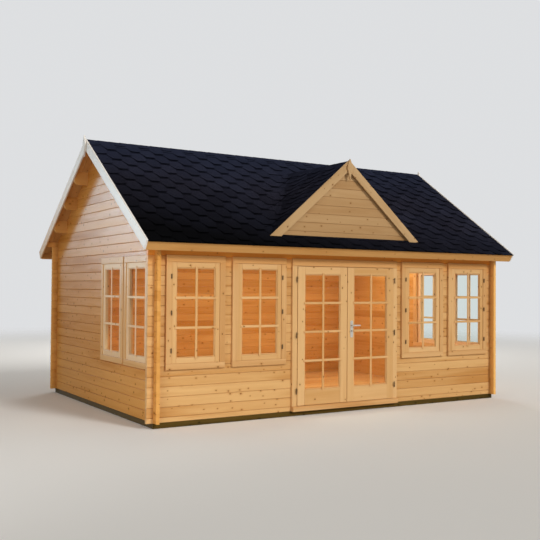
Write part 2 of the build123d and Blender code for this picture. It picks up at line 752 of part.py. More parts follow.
DORMER_FRONT = -(EAVES_REACH - DORMER_SETBACK)
DORMER_BACK = DORMER_FRONT + TRIM_THICKNESS
DORMER_FACE = DORMER_BACK + DORMER_OVERHANG
DORMER_BOARD_RISE = ROOF_BOARD_THICKNESS / DORMER_COS
DORMER_SHINGLE_RISE = SHINGLE_THICKNESS / DORMER_COS
DORMER_FOOT = shingle_top(DORMER_BACK) + SEAT
DORMER_HALF = DORMER_WIDTH / 2
DORMER_APEX = DORMER_FOOT + DORMER_HALF * DORMER_TAN


def dormer_top(x):
    """Height of the upper edge of the dormer's verge boards at a distance from its middle."""
    return DORMER_APEX - abs(x) * DORMER_TAN


def dormer_shingle_base(x):
    return dormer_top(x) - BARGE_COVER / DORMER_COS - DORMER_SHINGLE_RISE


def dormer_under(x):
    return dormer_shingle_base(x) - SEAT - DORMER_BOARD_RISE


def main_roof():
    """The space under the shingles of the main roof, which the dormer stands on."""
    return over_slope(shingle_top, -1) + over_slope(shingle_top, 1)


def dormer_slope(side, low, thickness):
    """A layer of one slope of the dormer, run back into the main roof and cut along the valley."""
    ridge = side * SEAT
    reach = side * (DORMER_HALF + OVERRUN)
    outline = [
        (ridge, low(ridge)),
        (reach, low(reach)),
        (reach, low(reach) + thickness),
        (ridge, low(ridge) + thickness),
    ]
    layer = along_y(outline, DORMER_BACK + SEAT, -SEAT) - main_roof()
    return layer.solids().sort_by(SortBy.VOLUME)[-1]


def dormer_barge(side):
    """A verge board of the dormer, cut level at its foot and plumb at its apex."""
    drop = DORMER_BARGE_WIDTH / DORMER_COS
    ridge = side * SEAT
    heel = side * (DORMER_HALF - drop / DORMER_TAN)
    outline = [
        (ridge, dormer_top(ridge)),
        (side * DORMER_HALF, DORMER_FOOT),
        (heel, DORMER_FOOT),
        (ridge, dormer_top(ridge) - drop),
    ]
    return along_y(outline, DORMER_FRONT, DORMER_BACK)


def dormer_gable():
    """The closed boarded front of the dormer, standing on the main roof."""
    peak = dormer_under(0) - SEAT
    half = (peak - DORMER_FOOT) / DORMER_TAN
    outline = [(-half, DORMER_FOOT), (half, DORMER_FOOT), (0, peak)]
    wall = along_y(outline, DORMER_FACE, DORMER_FACE + DORMER_GABLE_THICKNESS) - main_roof()
    return wall.solids().sort_by(SortBy.VOLUME)[-1]


def dormer_finial():
    outline = kite(DORMER_FINIAL_HEIGHT, FINIAL_WIDTH, DORMER_FINIAL_RISE, DORMER_APEX)
    return along_y(outline, DORMER_FRONT - SEAT - TRIM_THICKNESS, DORMER_FRONT - SEAT)


nodes["dormer_gable"] = [dormer_gable()]
nodes["dormer_roof_boards"] = [
    dormer_slope(side, dormer_under, DORMER_BOARD_RISE) for side in (-1, 1)
]
nodes["dormer_roof_shingles"] = [
    dormer_slope(side, dormer_shingle_base, DORMER_SHINGLE_RISE) for side in (-1, 1)
]
nodes["dormer_barge_boards"] = [dormer_barge(side) for side in (-1, 1)]
nodes["dormer_finial"] = [dormer_finial()]

os.makedirs("parts", exist_ok=True)
for name, pieces in nodes.items():
    export_step(Compound(children=solids_of(pieces)), f"parts/{name}.step")
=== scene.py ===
import json
import math
import random

import bmesh
import bpy
import numpy as np
from mathutils import Matrix, Vector

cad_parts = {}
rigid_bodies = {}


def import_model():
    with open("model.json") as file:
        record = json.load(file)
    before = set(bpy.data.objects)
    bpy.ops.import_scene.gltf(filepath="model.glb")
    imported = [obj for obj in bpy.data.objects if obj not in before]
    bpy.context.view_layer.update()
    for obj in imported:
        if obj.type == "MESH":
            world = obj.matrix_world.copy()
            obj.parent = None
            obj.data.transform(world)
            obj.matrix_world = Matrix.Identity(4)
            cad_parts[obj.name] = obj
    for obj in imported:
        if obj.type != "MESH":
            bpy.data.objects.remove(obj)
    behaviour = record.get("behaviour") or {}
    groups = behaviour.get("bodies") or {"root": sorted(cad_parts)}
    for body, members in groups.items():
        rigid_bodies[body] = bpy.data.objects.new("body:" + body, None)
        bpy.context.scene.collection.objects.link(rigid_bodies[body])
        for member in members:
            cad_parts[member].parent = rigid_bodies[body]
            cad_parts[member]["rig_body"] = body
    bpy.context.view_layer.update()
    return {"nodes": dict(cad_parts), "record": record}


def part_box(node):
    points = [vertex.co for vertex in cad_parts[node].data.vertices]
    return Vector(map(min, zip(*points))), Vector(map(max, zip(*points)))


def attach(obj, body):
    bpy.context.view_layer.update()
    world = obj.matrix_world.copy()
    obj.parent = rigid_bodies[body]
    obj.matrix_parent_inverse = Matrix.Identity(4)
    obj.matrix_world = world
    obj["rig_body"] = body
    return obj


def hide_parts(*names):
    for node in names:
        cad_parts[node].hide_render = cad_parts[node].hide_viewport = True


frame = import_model()


# Foundation beams
# Rough sawn softwood bearers, treated to a dark olive brown. They lie flat on the ground
# under the walls and the floor, and the whole cabin stands on them.

STREAK_STRETCH = (0.9, 22.0, 14.0)
FIBRE_STRETCH = (9.0, 520.0, 520.0)
PATCH_STRETCH = (0.7, 7.0, 3.0)
RING_STRETCH = (0.55, 34.0, 21.0)
KNOT_STRETCH = (6.4, 12.7, 12.7)
KNOT_SIZES = (0.6, 1.5)
KNOT_HEART = (0.062, 0.034)
KNOT_HALO = (0.17, 0.06)
RING_SHARE = 0.34
STREAK_SHARE = 0.62
HALO_SHARE = 0.35
TONE_RANGE = (-0.28, 0.22)
FIBRE_RANGE = (-0.06, 0.06)
GRAIN_HEIGHT = 0.0012
GRAIN_RUN = 60.0
GRAIN_ACROSS = 9.0
WELD = 0.00002
FLAT_ANGLE = math.radians(1.0)
SHARP_ANGLE = math.radians(24.0)
SAWN_EDGE = 0.003
PLANED_EDGE = 0.0025
draw = random.Random(41)


def add(tree, kind, inputs=None, **settings):
    """A shader node with its settings, whose inputs are plain values or the outputs of other nodes."""
    made = tree.nodes.new(kind)
    for name, value in settings.items():
        setattr(made, name, value)
    for name, value in (inputs or {}).items():
        if isinstance(value, bpy.types.NodeSocket):
            tree.links.new(value, made.inputs[name])
        else:
            made.inputs[name].default_value = value
    return made


def noise_over(tree, place, stretch, detail=3.0):
    """Cloudy noise over coordinates that are stretched first, from 0 to 1."""
    mapped = add(tree, "ShaderNodeMapping", {"Vector": place, "Scale": stretch})
    noise = add(tree, "ShaderNodeTexNoise", {"Vector": mapped.outputs[0], "Scale": 1.0, "Detail": detail})
    return noise.outputs[0]


def ranged(tree, value, low, high, to_low=0.0, to_high=1.0):
    return add(tree, "ShaderNodeMapRange", {"Value": value, "From Min": low, "From Max": high,
                                            "To Min": to_low, "To Max": to_high}).outputs[0]


def mixed(tree, share, first, second):
    """The first colour or number, going over to the second with the share."""
    made = add(tree, "ShaderNodeMix", data_type="RGBA")
    for socket, value in ((made.inputs[0], share), (made.inputs[6], first), (made.inputs[7], second)):
        if isinstance(value, bpy.types.NodeSocket):
            tree.links.new(value, socket)
        else:
            socket.default_value = value if isinstance(value, float) else (*value, 1.0)
    return made.outputs[2]


def added(tree, first, second, kind="ADD"):
    return add(tree, "ShaderNodeMath", {0: first, 1: second}, operation=kind).outputs[0]


def new_finish(name):
    """A new material, its nodes and its main shader."""
    material = bpy.data.materials.new(name)
    material.use_nodes = True
    return material, material.node_tree, material.node_tree.nodes["Principled BSDF"]


def bumped(tree, shader, height, strength, distance):
    """Lets a finish show fine heights in its shading."""
    bump = add(tree, "ShaderNodeBump", {"Height": height, "Strength": strength, "Distance": distance})
    tree.links.new(bump.outputs[0], shader.inputs["Normal"])


def timber_finish(name, pale, dark, knot, roughness=0.5, relief=0.35, knot_share=0.4, red=0.5, gloss=0.06):
    """Softwood: growth rings drawn out along the grain, fine fibres, knots and a tone for each board."""
    material, tree, shader = new_finish(name)
    grain = add(tree, "ShaderNodeAttribute", attribute_name="grain").outputs["Vector"]
    tone = add(tree, "ShaderNodeAttribute", attribute_name="tone").outputs["Fac"]
    streaks = noise_over(tree, grain, STREAK_STRETCH, 4.0)
    fibres = noise_over(tree, grain, FIBRE_STRETCH, 2.0)
    patches = noise_over(tree, grain, PATCH_STRETCH, 2.0)
    ring_place = add(tree, "ShaderNodeMapping", {"Vector": grain, "Scale": RING_STRETCH})
    waves = add(tree, "ShaderNodeTexWave", {"Vector": ring_place.outputs[0], "Scale": 1.0, "Distortion": 7.0,
                                            "Detail": 2.0, "Detail Scale": 0.5}, bands_direction="Y")
    rings = waves.outputs[1]
    knot_place = add(tree, "ShaderNodeMapping", {"Vector": grain, "Scale": KNOT_STRETCH,
                                                 "Rotation": (math.pi / 4, 0.0, 0.0)})
    cells = add(tree, "ShaderNodeTexVoronoi", {"Vector": knot_place.outputs[0], "Scale": 1.0},
                voronoi_dimensions="2D")
    lot = add(tree, "ShaderNodeSeparateColor", {"Color": cells.outputs["Color"]})
    chosen = added(tree, lot.outputs[0], knot_share, "LESS_THAN")
    size = ranged(tree, lot.outputs[1], 0.0, 1.0, *KNOT_SIZES)
    near = added(tree, cells.outputs["Distance"], size, "DIVIDE")
    heart = added(tree, ranged(tree, near, *KNOT_HEART), chosen, "MULTIPLY")
    halo = added(tree, ranged(tree, near, *KNOT_HALO), chosen, "MULTIPLY")
    late = added(tree, added(tree, rings, RING_SHARE, "MULTIPLY"),
                 added(tree, streaks, STREAK_SHARE, "MULTIPLY"))
    late = added(tree, late, ranged(tree, tone, 0.0, 1.0, *TONE_RANGE))
    late = added(tree, late, added(tree, halo, HALO_SHARE, "MULTIPLY"))
    late = added(tree, late, ranged(tree, fibres, 0.3, 0.7, *FIBRE_RANGE))
    late = added(tree, late, ranged(tree, patches, 0.52, 0.74, 0.0, red))
    wood = mixed(tree, ranged(tree, late, 0.0, 1.0), pale, dark)
    tree.links.new(mixed(tree, heart, wood, knot), shader.inputs["Base Color"])
    sheen = ranged(tree, late, 0.0, 1.0, roughness + 0.08, roughness - 0.06)
    tree.links.new(sheen, shader.inputs["Roughness"])
    height = added(tree, added(tree, rings, 0.5, "MULTIPLY"), added(tree, fibres, 0.6, "MULTIPLY"))
    height = added(tree, height, added(tree, heart, 0.5, "MULTIPLY"), "SUBTRACT")
    bumped(tree, shader, height, relief, GRAIN_HEIGHT)
    shader.inputs["Specular IOR Level"].default_value = gloss
    return material


def islands_of(mesh):
    """The vertices of each separate solid of a bmesh."""
    seen = set()
    found = []
    for first in mesh.verts:
        if first in seen:
            continue
        seen.add(first)
        island = [first]
        for vert in island:
            for edge in vert.link_edges:
                other = edge.other_vert(vert)
                if other not in seen:
                    seen.add(other)
                    island.append(other)
        found.append(island)
    return found


def solid_copy(node):
    """A node's solids with their triangles joined into whole faces."""
    mesh = bmesh.new()
    mesh.from_mesh(frame["nodes"][node].data)
    bmesh.ops.remove_doubles(mesh, verts=mesh.verts, dist=WELD)
    bmesh.ops.dissolve_limit(mesh, angle_limit=FLAT_ANGLE, verts=mesh.verts, edges=mesh.edges)
    return mesh


def eased(mesh, width, steps):
    """Rounds the sharp edges of a bmesh, as planing and sanding leave them."""
    sharp = [e for e in mesh.edges if e.is_manifold and e.calc_face_angle(0.0) > SHARP_ANGLE]
    bmesh.ops.bevel(mesh, geom=sharp, offset=width, segments=steps, profile=0.5, affect="EDGES",
                    clamp_overlap=True)


def finished(mesh, name):
    """The mesh data of a bmesh that is ready and isn't needed further."""
    data = bpy.data.meshes.new(name)
    mesh.to_mesh(data)
    mesh.free()
    return data


def in_scene(name, data):
    """A new object of the scene, from a mesh, a lamp or a camera."""
    made = bpy.data.objects.new(name, data)
    bpy.context.scene.collection.objects.link(made)
    return made


def placed(name, mesh_data, material, body, nodes=()):
    """Links a finished mesh as a piece of a body, in place of the nodes that it stands for."""
    piece = in_scene(name, mesh_data)
    piece.data.materials.append(material)
    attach(piece, body)
    if nodes:
        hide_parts(*nodes)
    return piece


def grain_start():
    """Where in a tree a board is cut from, along the grain and across it."""
    return draw.uniform(0, GRAIN_RUN), draw.uniform(0, GRAIN_ACROSS), draw.uniform(0, GRAIN_ACROSS)


def timber_copy(node, material, edge=PLANED_EDGE, steps=2):
    """A node's timbers with eased edges, each with its own stretch of grain and its own tone."""
    mesh = solid_copy(node)
    eased(mesh, edge, steps)
    mesh.verts.index_update()
    grain = np.zeros((len(mesh.verts), 3), np.float32)
    tones = np.zeros(len(mesh.verts), np.float32)
    for island in islands_of(mesh):
        places = np.array([v.co for v in island])
        centre = places.mean(0)
        axes = np.linalg.svd(places - centre, full_matrices=False)[2]
        start = np.array(grain_start())
        tone = draw.random()
        for vert, place in zip(island, (places - centre) @ axes.T + start):
            grain[vert.index] = place
            tones[vert.index] = tone
    data = finished(mesh, node + "_timber")
    data.attributes.new("grain", "FLOAT_VECTOR", "POINT").data.foreach_set("vector", grain.ravel())
    data.attributes.new("tone", "FLOAT", "POINT").data.foreach_set("value", tones)
    return placed(node + "_timber", data, material, frame["nodes"][node]["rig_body"], [node])


treated_wood = timber_finish("treated_bearer_wood", (0.135, 0.080, 0.016), (0.060, 0.038, 0.007),
                             (0.02, 0.012, 0.004), roughness=0.75, relief=0.6)
timber_copy("foundation_beams", treated_wood, edge=SAWN_EDGE)


# Floor boards
# Planed softwood boards, tongued and grooved, nailed across the inner bearers. They run
# the length of the room, with a fine V at each joint.

FLOOR_BOARD = 0.121
FLOOR_EASE = 0.003
BOARD_GAP = 0.0006


def new_stock():
    """An empty stack of loose boards, which becomes one mesh."""
    return {"verts": [], "faces": [], "grain": [], "tones": []}


def add_prism(stock, first, last, profile):
    """A bar between two rings of points. The profile gives the same ring flat, for the grain."""
    base = len(stock["verts"])
    count = len(profile)
    first = [Vector(p) for p in first]
    last = [Vector(p) for p in last]
    start = Vector(grain_start())
    middle = sum(first, Vector()) / count
    along = (sum(last, Vector()) / count - middle).normalized()
    for ring in (first, last):
        for place, (side, depth) in zip(ring, profile):
            stock["verts"].append(place)
            stock["grain"].append(start + Vector(((place - middle).dot(along), side, depth)))
    for k in range(count):
        n = (k + 1) % count
        stock["faces"].append((base + k, base + n, base + count + n, base + count + k))
    stock["faces"].append(tuple(base + k for k in reversed(range(count))))
    stock["faces"].append(tuple(base + count + k for k in range(count)))
    stock["tones"] += [draw.random()] * (count + 2)


def eased_rectangle(width, depth, ease):
    """Outline of a planed board's end: a rectangle with its corners taken off."""
    w, d = width / 2, depth / 2
    return [(-w, ease - d), (ease - w, -d), (w - ease, -d), (w, ease - d),
            (w, d - ease), (w - ease, d), (ease - w, d), (-w, d - ease)]


def add_board(stock, start, end, side, width, depth, ease):
    """A straight planed board from start to end, with its width along side."""
    start, end = Vector(start), Vector(end)
    side = Vector(side).normalized()
    out = (end - start).normalized().cross(side)
    profile = eased_rectangle(width, depth, ease)
    rings = [[p + side * w + out * d for w, d in profile] for p in (start, end)]
    add_prism(stock, rings[0], rings[1], profile)


def stock_piece(name, stock, material, body, nodes=()):
    """Places all the boards of a stack as one closed mesh, with their grain and tones."""
    data = bpy.data.meshes.new(name)
    data.from_pydata(stock["verts"], [], stock["faces"])
    mesh = bmesh.new()
    mesh.from_mesh(data)
    bmesh.ops.recalc_face_normals(mesh, faces=mesh.faces)
    mesh.to_mesh(data)
    mesh.free()
    if stock["grain"]:
        flat = np.array(stock["grain"], np.float32).ravel()
        data.attributes.new("grain", "FLOAT_VECTOR", "POINT").data.foreach_set("vector", flat)
    tones = np.array(stock["tones"], np.float32)
    data.attributes.new("tone", "FLOAT", "FACE").data.foreach_set("value", tones)
    return placed(name, data, material, body, nodes)


floor_wood = timber_finish("floor_board_wood", (0.70, 0.40, 0.16), (0.50, 0.22, 0.06), (0.25, 0.10, 0.03),
                           roughness=0.42)
floor_low, floor_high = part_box("floor_boards")
floor_stock = new_stock()
floor_count = round((floor_high.y - floor_low.y) / FLOOR_BOARD)
floor_pitch = (floor_high.y - floor_low.y) / floor_count
for k in range(floor_count):
    y = floor_low.y + (k + 0.5) * floor_pitch
    z = (floor_low.z + floor_high.z) / 2
    add_board(floor_stock, (floor_low.x, y, z), (floor_high.x, y, z), (0, 1, 0),
              floor_pitch - BOARD_GAP, floor_high.z - floor_low.z, FLOOR_EASE)
stock_piece("floor_board_planks", floor_stock, floor_wood, "cabin", ["floor_boards"])


# Log walls
# Planed spruce logs, tongued into each other with a V joint on the weather side, and notched
# over the logs of the next wall. The front logs are the palest honey, deepened by painted shade
# at the top under the eaves. The other walls and the purlins take darker copies of the wood as
# painted shade, with painted light on the protruding log ends.

FRONT_LOG_NODES = ("front_wall_left", "front_wall_right")
OTHER_LOG_NODES = ("rear_wall", "right_wall")
INNER_EDGE = 0.0055  # the joints of these logs show from inside the room
# Between these heights the front logs and the casings go over to painted shade, a deeper orange for the
# eaves' shadow.
EAVE_SHADE_FROM = 1.76
EAVE_SHADE_FULL = 1.94
EAVE_SHADE_SHARE = 0.8
EAVE_PAINTED_SHADE = (0.84, 0.385, 0.105)
# A darker, deeper orange copy of the log wood for the rear and right walls and the purlins; the deeper colour
# is painted shade.
SHADE_PAINTED_LOG = ((0.78, 0.42, 0.135), (0.54, 0.235, 0.052), (0.25, 0.095, 0.026))
# Painted light: the log ends that stand out past the corners go over to a brighter orange, most at the right
# front corner, less at the rear left and least at the left front.
LOG_END_PAINTED_LIGHT = (0.98, 0.55, 0.17)
FRONT_END_FROM = -1.82
FRONT_END_FULL = -1.87
REAR_END_FROM = -2.69
REAR_END_FULL = -2.74
RIGHT_END_SHARE = 0.85
REAR_END_SHARE = 0.6
LEFT_END_SHARE = 0.12


def faded(material, axis, start, end, share, colour):
    """Lets a finish go over to another colour, up to a share, between two places along an axis."""
    tree = material.node_tree
    base = tree.nodes["Principled BSDF"].inputs["Base Color"]
    place = add(tree, "ShaderNodeTexCoord").outputs["Object"]
    along = add(tree, "ShaderNodeSeparateXYZ", {"Vector": place}).outputs[axis]
    over = ranged(tree, along, start, end, 0.0, share)
    tree.links.new(mixed(tree, over, base.links[0].from_socket, colour), base)


log_wood = timber_finish("honey_log_wood", (0.80, 0.50, 0.215), (0.56, 0.265, 0.075), (0.25, 0.095, 0.028),
                         roughness=0.42, knot_share=0.5)
shade_painted_log_wood = timber_finish("shade_painted_log_wood", *SHADE_PAINTED_LOG, roughness=0.26, gloss=0.02)
faded(log_wood, "Z", EAVE_SHADE_FROM, EAVE_SHADE_FULL, EAVE_SHADE_SHARE, EAVE_PAINTED_SHADE)
faded(shade_painted_log_wood, "Y", FRONT_END_FROM, FRONT_END_FULL, RIGHT_END_SHARE, LOG_END_PAINTED_LIGHT)
faded(shade_painted_log_wood, "X", REAR_END_FROM, REAR_END_FULL, REAR_END_SHARE, LOG_END_PAINTED_LIGHT)
for node in FRONT_LOG_NODES:
    timber_copy(node, log_wood)
# The head log under the eaves has a deeper orange wood of its own: painted shade for the eaves' shadow.
eave_shade_painted_wood = timber_finish("eave_shade_painted_log_wood", (0.98, 0.40, 0.068), (0.76, 0.25, 0.032),
                               (0.25, 0.095, 0.026), roughness=0.42)
timber_copy("front_wall_head", eave_shade_painted_wood)
for node in OTHER_LOG_NODES:
    timber_copy(node, shade_painted_log_wood, edge=INNER_EDGE, steps=1)
# The left gable has its own darker orange copy of the log wood: painted shade for the gable that the key lamp
# leaves.
gable_shade_painted_log_wood = timber_finish("gable_shade_painted_log_wood", (0.80, 0.405, 0.112), (0.57, 0.228, 0.041),
                               (0.22, 0.08, 0.02), roughness=0.26, gloss=0.02)
faded(gable_shade_painted_log_wood, "Y", FRONT_END_FROM, FRONT_END_FULL, LEFT_END_SHARE, LOG_END_PAINTED_LIGHT)
timber_copy("left_wall", gable_shade_painted_log_wood)


# Window frames and sashes
# Jambs grooved over the log ends, with head and sill casings across them, and glazed
# casement sashes inside. Joinery timber of the same spruce, planed smooth.

WINDOW_GROUPS = ("front_left", "front_right", "left", "right")
JOINERY_EDGE = 0.004
# Painted shade: the casings darken towards their heads under the eaves.
CASING_PAINTED_SHADE = (0.66, 0.31, 0.09)
casing_wood = timber_finish("casing_wood", (0.77, 0.475, 0.215), (0.59, 0.305, 0.11), (0.20, 0.08, 0.02),
                            roughness=0.43, knot_share=0.3)
faded(casing_wood, "Z", EAVE_SHADE_FROM, EAVE_SHADE_FULL, EAVE_SHADE_SHARE, CASING_PAINTED_SHADE)
joinery_wood = timber_finish("planed_joinery_wood", (0.80, 0.51, 0.24), (0.63, 0.34, 0.12),
                             (0.18, 0.07, 0.02), roughness=0.43, knot_share=0.3, red=0.25)
gable_casing_wood = timber_finish("gable_casing_wood", (0.84, 0.52, 0.23), (0.64, 0.34, 0.12),
                                  (0.25, 0.10, 0.03), roughness=0.28, knot_share=0.3, red=0.25, gloss=0.02)
# The gable sashes and their bars take a paler copy of the sash wood, partly paler timber and partly painted
# sheen.
gable_sash_sheen_painted_wood = timber_finish("gable_sash_sheen_painted_wood", (0.92, 0.68, 0.42), (0.78, 0.50, 0.26), (0.25, 0.10, 0.03),
                                roughness=0.32, knot_share=0.2, red=0.25, gloss=0.02)
FRAME_WOODS = {"front_left": casing_wood, "front_right": casing_wood,
               "left": gable_casing_wood, "right": gable_casing_wood}
SASH_WOODS = {"front_left": joinery_wood, "front_right": joinery_wood,
              "left": gable_sash_sheen_painted_wood, "right": gable_sash_sheen_painted_wood}
for group in WINDOW_GROUPS:
    timber_copy(group + "_window_frames", FRAME_WOODS[group], edge=JOINERY_EDGE)
    timber_copy(group + "_window_sashes", SASH_WOODS[group], edge=JOINERY_EDGE)


# Window panes
# Clear float glass in one sheet to each sash, held in a rebate. It is a little uneven
# and faintly green, and lets daylight straight into the room.

FRONT_GLASS_IOR = 1.12
GABLE_GLASS_IOR = 1.04
GLASS_TINT = (0.93, 0.97, 0.95, 1.0)
DAYLIGHT_TINT = (0.88, 0.92, 0.90, 1.0)
GLASS_WAVES = (2.2, 2.2, 1.1)
GLASS_WAVE_HEIGHT = 0.004
GLASS_DUST = (30.0, 30.0, 14.0)
DUST_ROUGHNESS = 0.05


def pane_glass(name, bending):
    material, tree, shader = new_finish(name)
    shader.inputs["Base Color"].default_value = GLASS_TINT
    shader.inputs["Transmission Weight"].default_value = 1.0
    shader.inputs["IOR"].default_value = bending
    place = add(tree, "ShaderNodeTexCoord").outputs["Object"]
    waves = noise_over(tree, place, GLASS_WAVES, 1.0)
    dust = noise_over(tree, place, GLASS_DUST, 4.0)
    tree.links.new(ranged(tree, dust, 0.45, 0.8, 0.0, DUST_ROUGHNESS), shader.inputs["Roughness"])
    bumped(tree, shader, waves, 0.06, GLASS_WAVE_HEIGHT)
    clear = add(tree, "ShaderNodeBsdfTransparent", {"Color": DAYLIGHT_TINT})
    path = add(tree, "ShaderNodeLightPath")
    passing = added(tree, path.outputs["Is Shadow Ray"], path.outputs["Is Diffuse Ray"], "MAXIMUM")
    either = add(tree, "ShaderNodeMixShader", {0: passing, 1: shader.outputs[0], 2: clear.outputs[0]})
    tree.links.new(either.outputs[0], tree.nodes["Material Output"].inputs["Surface"])
    return material


front_glass = pane_glass("clear_pane_glass", FRONT_GLASS_IOR)
gable_glass = pane_glass("gable_pane_glass", GABLE_GLASS_IOR)
FRONT_GLASS_NODES = ("front_left_window_glass", "front_right_window_glass",
                     "left_door_glass", "right_door_glass")
GABLE_GLASS_NODES = ("left_window_glass", "right_window_glass")
for nodes, glass in ((FRONT_GLASS_NODES, front_glass), (GABLE_GLASS_NODES, gable_glass)):
    for node in nodes:
        frame["nodes"][node].data.materials.clear()
        frame["nodes"][node].data.materials.append(glass)


# Window bars and beads
# Flat clip-on bars lie over each sash and divide its pane into two by three. Small beads
# behind them hold the glass in its rebate.

BAR_WIDTH = 0.028
BAR_DEPTH = 0.009
BAR_OVERLAP = 0.017
BEAD = 0.010
SASH_HALF = 0.022
PANE_HALF = 0.003
BAR_LIFT = 0.0006
BAR_EASE = 0.002
UP = Vector((0, 0, 1))


def node_boxes(node):
    """Lowest and highest corner of each separate solid of a node."""
    mesh = solid_copy(node)
    found = []
    for island in islands_of(mesh):
        places = np.array([v.co for v in island])
        found.append((Vector(places.min(0)), Vector(places.max(0))))
    mesh.free()
    return found


def glazing_bars(stock, low, high, out, face, rows):
    """One upright bar and level bars over a pane, and the beads round it.
    The wood's front is the distance face out from the pane's middle."""
    along = Vector((abs(out.y), abs(out.x), 0.0))
    middle = (low + high) / 2
    half = (high - low).dot(along) / 2
    tall = (high.z - low.z) / 2
    front = middle + out * (face + BAR_LIFT + BAR_DEPTH / 2)
    reach = tall + BAR_OVERLAP
    add_board(stock, front - UP * reach, front + UP * reach, along, BAR_WIDTH, BAR_DEPTH, BAR_EASE)
    for row in range(1, rows):
        level = front + UP * (2 * tall * row / rows - tall)
        for side in (-1, 1):
            near = level + along * side * (BAR_WIDTH / 2 + BAR_LIFT)
            far = level + along * side * (half + BAR_OVERLAP)
            add_board(stock, near, far, UP, BAR_WIDTH, BAR_DEPTH, BAR_EASE)
    seat = middle + out * (PANE_HALF + BAR_LIFT + BEAD / 2)
    edge = BEAD / 2 + BAR_LIFT
    for side in (-1, 1):
        upright = seat + along * side * (half - edge)
        add_board(stock, upright - UP * tall, upright + UP * tall, along, BEAD, BEAD, BAR_EASE)
        rail = seat + UP * side * (tall - edge)
        run = along * (half - BEAD - 2 * BAR_LIFT)
        add_board(stock, rail - run, rail + run, UP, BEAD, BEAD, BAR_EASE)


WINDOW_ROWS = 3
OUTWARD = {"front_left": Vector((0, -1, 0)), "front_right": Vector((0, -1, 0)),
           "left": Vector((-1, 0, 0)), "right": Vector((1, 0, 0))}
for group in WINDOW_GROUPS:
    bars = new_stock()
    for low, high in node_boxes(group + "_window_glass"):
        glazing_bars(bars, low, high, OUTWARD[group], SASH_HALF, WINDOW_ROWS)
    stock_piece(group + "_window_bars", bars, SASH_WOODS[group], "cabin")


# Window hinges
# Bronzed steel lift-off hinges, three to a sash, on the side of each front window that is
# away from its neighbour. Each is a barrel of two knuckles with small domed caps.

HINGE_RADIUS = 0.0082
HINGE_LENGTH = 0.048
HINGE_GAP = 0.001
HINGE_CAP = 0.004
HINGE_HEIGHT_SHARES = (0.13, 0.5, 0.86)
WINDOW_HINGE_STANDOFF = 0.0075
WINDOW_HINGE_OUTSET = 0.010
TURNING_STEPS = 20
BRUSHED_STRETCH = (900.0, 900.0, 40.0)
BRUSHED_HEIGHT = 0.0002
BLOTCH_STRETCH = (60.0, 60.0, 60.0)


def metal_finish(name, colour, worn, roughness, metallic):
    """Rolled metal with a fine grain and a little wear."""
    material, tree, shader = new_finish(name)
    place = add(tree, "ShaderNodeTexCoord").outputs["Object"]
    brushed = noise_over(tree, place, BRUSHED_STRETCH)
    blotches = noise_over(tree, place, BLOTCH_STRETCH)
    tree.links.new(mixed(tree, ranged(tree, blotches, 0.5, 0.75), colour, worn), shader.inputs["Base Color"])
    sheen = ranged(tree, brushed, 0.2, 0.8, roughness - 0.08, roughness + 0.1)
    tree.links.new(sheen, shader.inputs["Roughness"])
    bumped(tree, shader, brushed, 0.12, BRUSHED_HEIGHT)
    shader.inputs["Metallic"].default_value = metallic
    return material


def add_turning(mesh, centre, axis, outline, steps=TURNING_STEPS):
    """A turned piece: radii at distances along an axis, closed at both ends."""
    axis = Vector(axis).normalized()
    side = axis.orthogonal().normalized()
    other = axis.cross(side)
    rings = []
    for along, radius in outline:
        middle = Vector(centre) + axis * along
        ring = []
        for k in range(steps):
            a = 2 * math.pi * k / steps
            ring.append(mesh.verts.new(middle + (side * math.cos(a) + other * math.sin(a)) * radius))
        rings.append(ring)
    for lower, upper in zip(rings, rings[1:]):
        for k in range(steps):
            n = (k + 1) % steps
            mesh.faces.new((lower[k], lower[n], upper[n], upper[k]))
    mesh.faces.new(list(reversed(rings[0])))
    mesh.faces.new(rings[-1])


def turned_piece(name, turnings, material, body, nodes=()):
    """One mesh of several turned pieces."""
    mesh = bmesh.new()
    for centre, axis, outline in turnings:
        add_turning(mesh, centre, axis, outline)
    bmesh.ops.recalc_face_normals(mesh, faces=mesh.faces)
    return placed(name, finished(mesh, name), material, body, nodes)


def barrel_outline(half):
    """A knuckle pair with a groove in the middle and a domed cap at each end."""
    r = HINGE_RADIUS
    return [(-half - HINGE_CAP, r * 0.45), (-half - HINGE_CAP * 0.4, r * 0.85), (-half, r), (-HINGE_GAP, r),
            (-HINGE_GAP, r * 0.7), (HINGE_GAP, r * 0.7), (HINGE_GAP, r), (half, r),
            (half + HINGE_CAP * 0.4, r * 0.85), (half + HINGE_CAP, r * 0.45)]


dark_steel = metal_finish("bronzed_hinge_steel", (0.12, 0.065, 0.018), (0.19, 0.11, 0.035), 0.55, 0.15)
for group in ("front_left", "front_right"):
    barrels = []
    out = OUTWARD[group]
    along = Vector((abs(out.y), abs(out.x), 0.0))
    sash_low, sash_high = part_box(group + "_window_sashes")
    face_low, face_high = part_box(group + "_window_frames")
    front = max(face_low.dot(out), face_high.dot(out))
    for edge in (sash_low.dot(along) - WINDOW_HINGE_OUTSET, sash_high.dot(along) + WINDOW_HINGE_OUTSET):
        for share in HINGE_HEIGHT_SHARES:
            z = sash_low.z + share * (sash_high.z - sash_low.z)
            centre = along * edge + out * (front + WINDOW_HINGE_STANDOFF) + UP * z
            barrels.append((centre, UP, barrel_outline(HINGE_LENGTH / 2)))
    turned_piece(group + "_window_hinges", barrels, dark_steel, "cabin")


# Door frame
# Two grooved jambs, a head casing and a threshold of planed spruce, all let in over the log
# ends as the window frames are.

timber_copy("door_jambs", joinery_wood, edge=JOINERY_EDGE)
# The head casing takes the casing wood's painted shade under the eaves.
for node in ("door_head", "door_threshold"):
    timber_copy(node, casing_wood, edge=JOINERY_EDGE)


